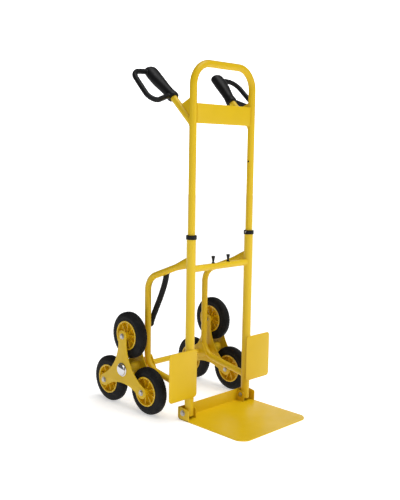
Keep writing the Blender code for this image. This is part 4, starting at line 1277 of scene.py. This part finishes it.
outline = star_outline()
bolt_holes = [circle(BOLT_HOLE, unit(math.pi / 2 + arm * ARM_STEP) * arm_length, 24)
              for arm in range(ARMS)]
made = []
for name, side in SIDES.items():
    body = "cluster_" + name
    for layer, hole in (("outer", ROD_HOLE), ("inner", HUB_HOLE)):
        node = "star_%s_%s" % (layer, name)
        plate = pressed(outline, 2 * reach(node, "X"), bolt_holes + [circle(hole)], edge=0.0008)
        made.append(piece("star_plate_%s_%s" % (layer, name),
                          [moved(plate, at(middle(node, "X"), axle_y, axle_z) @ FACING_X)],
                          YELLOW_PAINT, body, [node]))
    node = "hub_barrel_" + name
    inner, outer = sorted(span(node, "X"), key=lambda x: side * x)
    radius, length = reach(node, "Z"), abs(outer - inner)
    profile = [(ROD_HOLE, length), (radius - 0.0008, length), (radius, length - 0.0008),
               (radius, 0.0012), (radius - 0.0012, 0), (ROD_HOLE, 0)]
    barrel = moved(lathe(profile, 48, ring=True), at(inner, axle_y, axle_z) @ along_x(side))
    made.append(piece("hub_tube_" + name, [barrel], YELLOW_PAINT, body, [node]))
    beads = []
    for layer, face in (("outer", -1), ("inner", 1), ("inner", -1)):
        node = "star_%s_%s" % (layer, name)
        x = middle(node, "X") + side * face * (reach(node, "X") + BEAD_LIFT)
        beads.append(bead(around_axle(x, radius, 90), thick=STAR_BEAD))
    made.append(piece("star_welds_" + name, beads, YELLOW_PAINT, body))
    for number in range(1, ARMS + 1):
        node = "wheel_bolt_%s_%d" % (name, number)
        made.append(piece("axle_bolt_%s_%d" % (name, number),
                          bolt_shapes(node, side, 0.2 + number * 0.7), ZINC, body, [node]))
report("clusters", *made)

# %% [markdown]
# ## Hub caps
# A chrome cap closes the end of the axle. It is pressed over the rod, so it has a flat brim, a
# tight step and then a dome. Chrome shows only what it mirrors, so the shape of the profile is
# everything: the step gives the dark ring round the bright dome. The axle rod itself is shown as
# the CAD model has it, in zinc.

# %% Turn the hub caps
CAP_HOLLOW = 0.0068
made = []
for name, side in SIDES.items():
    inner, outer = sorted(span("hub_cap_" + name, "X"), key=lambda x: side * x)
    radius, tall = reach("hub_cap_" + name, "Z"), abs(outer - inner)
    profile = [(0, tall)]
    dome_radius = radius * 0.86
    for k in range(1, 11):
        turn = math.radians(90 - 9 * k)
        profile.append((dome_radius * math.cos(turn), tall * 0.34 + (tall * 0.66) * math.sin(turn)))
    profile += [(dome_radius * 1.005, tall * 0.20), (radius * 0.90, tall * 0.13),
                (radius * 0.97, tall * 0.12), (radius, tall * 0.07), (radius * 0.99, 0),
                (CAP_HOLLOW, 0), (CAP_HOLLOW, 0.0014), (0, 0.0014)]
    cap = moved(lathe(profile, 64), at(inner, axle_y, axle_z) @ along_x(side))
    made.append(piece("chrome_cap_" + name, [cap], CHROME, "chassis", ["hub_cap_" + name],
                      crease=50))
report("hub caps", *made)
axle_rod = frame["nodes"]["axle_rod"]
for slot in axle_rod.material_slots:
    slot.material = ZINC

# %% [markdown]
# ## Wheels
# Each wheel is a solid rubber tyre on a moulded rim. The tyre's profile is turned: a crowned
# tread, round shoulders, and a side wall with a raised ring near the rim. Fine grooves run round
# the tread, and short cuts across its shoulders are pressed in by pulling points inward every few
# degrees. The rim is a ring with a thin web, a hub, and ribs from hub to ring on both faces, as a
# moulder makes it: even walls and stiff ribs instead of one thick lump.

# %% Mould the wheels
TREAD_CUTS = 44
CUT_DEPTH = 0.0010
RIBS = 9
RIM_RADIUS = 0.050
RIM_HALF = 0.0185
RIM_HUB, RIM_BORE, RIM_WEB = 0.012, 0.0046, 0.0026
HALF_TYRE = (
    (1.0, 0.0), (0.998, 0.10), (0.993, 0.17), (0.960, 0.185), (0.960, 0.215), (0.990, 0.235),
    (0.982, 0.36), (0.968, 0.46), (0.930, 0.475), (0.928, 0.505), (0.945, 0.53), (0.90, 0.64),
    (0.82, 0.76), (0.70, 0.855), (0.58, 0.915), (0.50, 0.955), (0.46, 0.985), (0.40, 0.985),
    (0.36, 0.960), (0.24, 0.985), (0.12, 1.0), (0.04, 0.985), (0.0, 0.93))


def tyre_shape(half_wide, bead_radius):
    """HALF_TYRE runs from the tread's middle to the bead; the other half mirrors it."""
    high = wheel_radius - bead_radius
    side_view = [(bead_radius + high * out, half_wide * wide) for out, wide in HALF_TYRE]
    return side_view + [(radius, -height) for radius, height in reversed(side_view[1:])]


def cut_tread(shape, half_wide):
    """Short cuts across the tread's shoulders."""
    points, faces = shape
    changed = []
    for point in points:
        radius = math.hypot(point.x, point.y)
        part = abs(point.z) / half_wide
        turn = math.atan2(point.y, point.x) * TREAD_CUTS
        if radius > wheel_radius * 0.93 and 0.5 < part < 0.80 and math.cos(turn) > 0.80:
            shrink = 1 - CUT_DEPTH / radius
            point = Vector((point.x * shrink, point.y * shrink, point.z))
        changed.append(point)
    return changed, faces


def rib(inner, outer, low, high, thick, slope=0.0007):
    """A moulded rib along X, from radius inner to outer, its top narrower than its foot."""
    half = thick / 2
    end_view = ((-half - slope, low), (half + slope, low), (half, high - SOFT), (half - SOFT, high),
                (-half + SOFT, high), (-half, high - SOFT))
    return skin([[Vector((x, y, z)) for y, z in end_view] for x in (inner, outer)])


def rim_shapes(node):
    """Ring, web, hub and ribs, about Z."""
    radius, half, hub, web = RIM_RADIUS, RIM_HALF, RIM_HUB, RIM_WEB
    hub_half = reach(node, "X")
    flange = radius - 0.0050
    ring = [(radius, half - 0.0006), (radius - 0.0006, half), (flange + 0.0012, half),
            (flange, half - 0.0010), (flange - 0.0004, web + 0.002), (flange - 0.0022, web),
            (hub + 0.004, web), (hub + 0.0012, web + 0.0016), (hub, web + 0.005),
            (hub * 0.93, hub_half - 0.0006), (hub * 0.88, hub_half), (RIM_BORE, hub_half)]
    profile = ring + [(r, -z) for r, z in reversed(ring)]
    shapes = [lathe(profile, 72, ring=True)]
    one_rib = rib(hub * 0.9, flange + 0.0004, web - 0.0004, half - 0.0045, 0.0022)
    for k in range(RIBS):
        turn = Matrix.Rotation(2 * math.pi * (k + 0.5) / RIBS, 4, "Z")
        shapes += [moved(one_rib, turn @ Matrix.Rotation(flip, 4, "X")) for flip in (0, math.pi)]
    return shapes


made = []
for name, side in SIDES.items():
    for number in range(1, ARMS + 1):
        body = "wheel_%s_%d" % (name, number)
        tyre_node, rim_node = "tyre_%s_%d" % (name, number), "rim_%s_%d" % (name, number)
        home = at_middle(tyre_node) @ along_x(side) @ Matrix.Rotation(0.31 * number, 4, "Z")
        half_wide = reach(tyre_node, "X")
        turned = lathe(tyre_shape(half_wide, RIM_RADIUS - 0.0002), TREAD_CUTS * 5, ring=True)
        tyre = moved(cut_tread(turned, half_wide), home)
        made.append(piece("rubber_tyre_%s_%d" % (name, number), [tyre], TYRE_RUBBER, body,
                          [tyre_node], crease=40))
        rim = [moved(shape, home) for shape in rim_shapes(rim_node)]
        made.append(piece("moulded_rim_%s_%d" % (name, number), rim, RIM_PLASTIC, body, [rim_node]))
report("wheels", *made)

# %% Write the two boxes and finish
visual_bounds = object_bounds()
for label, (low, high) in (("CAD", cad_bounds), ("visual", visual_bounds)):
    print(label, "size in mm:", [round((b - a) * 1000, 1) for a, b in zip(low, high)])
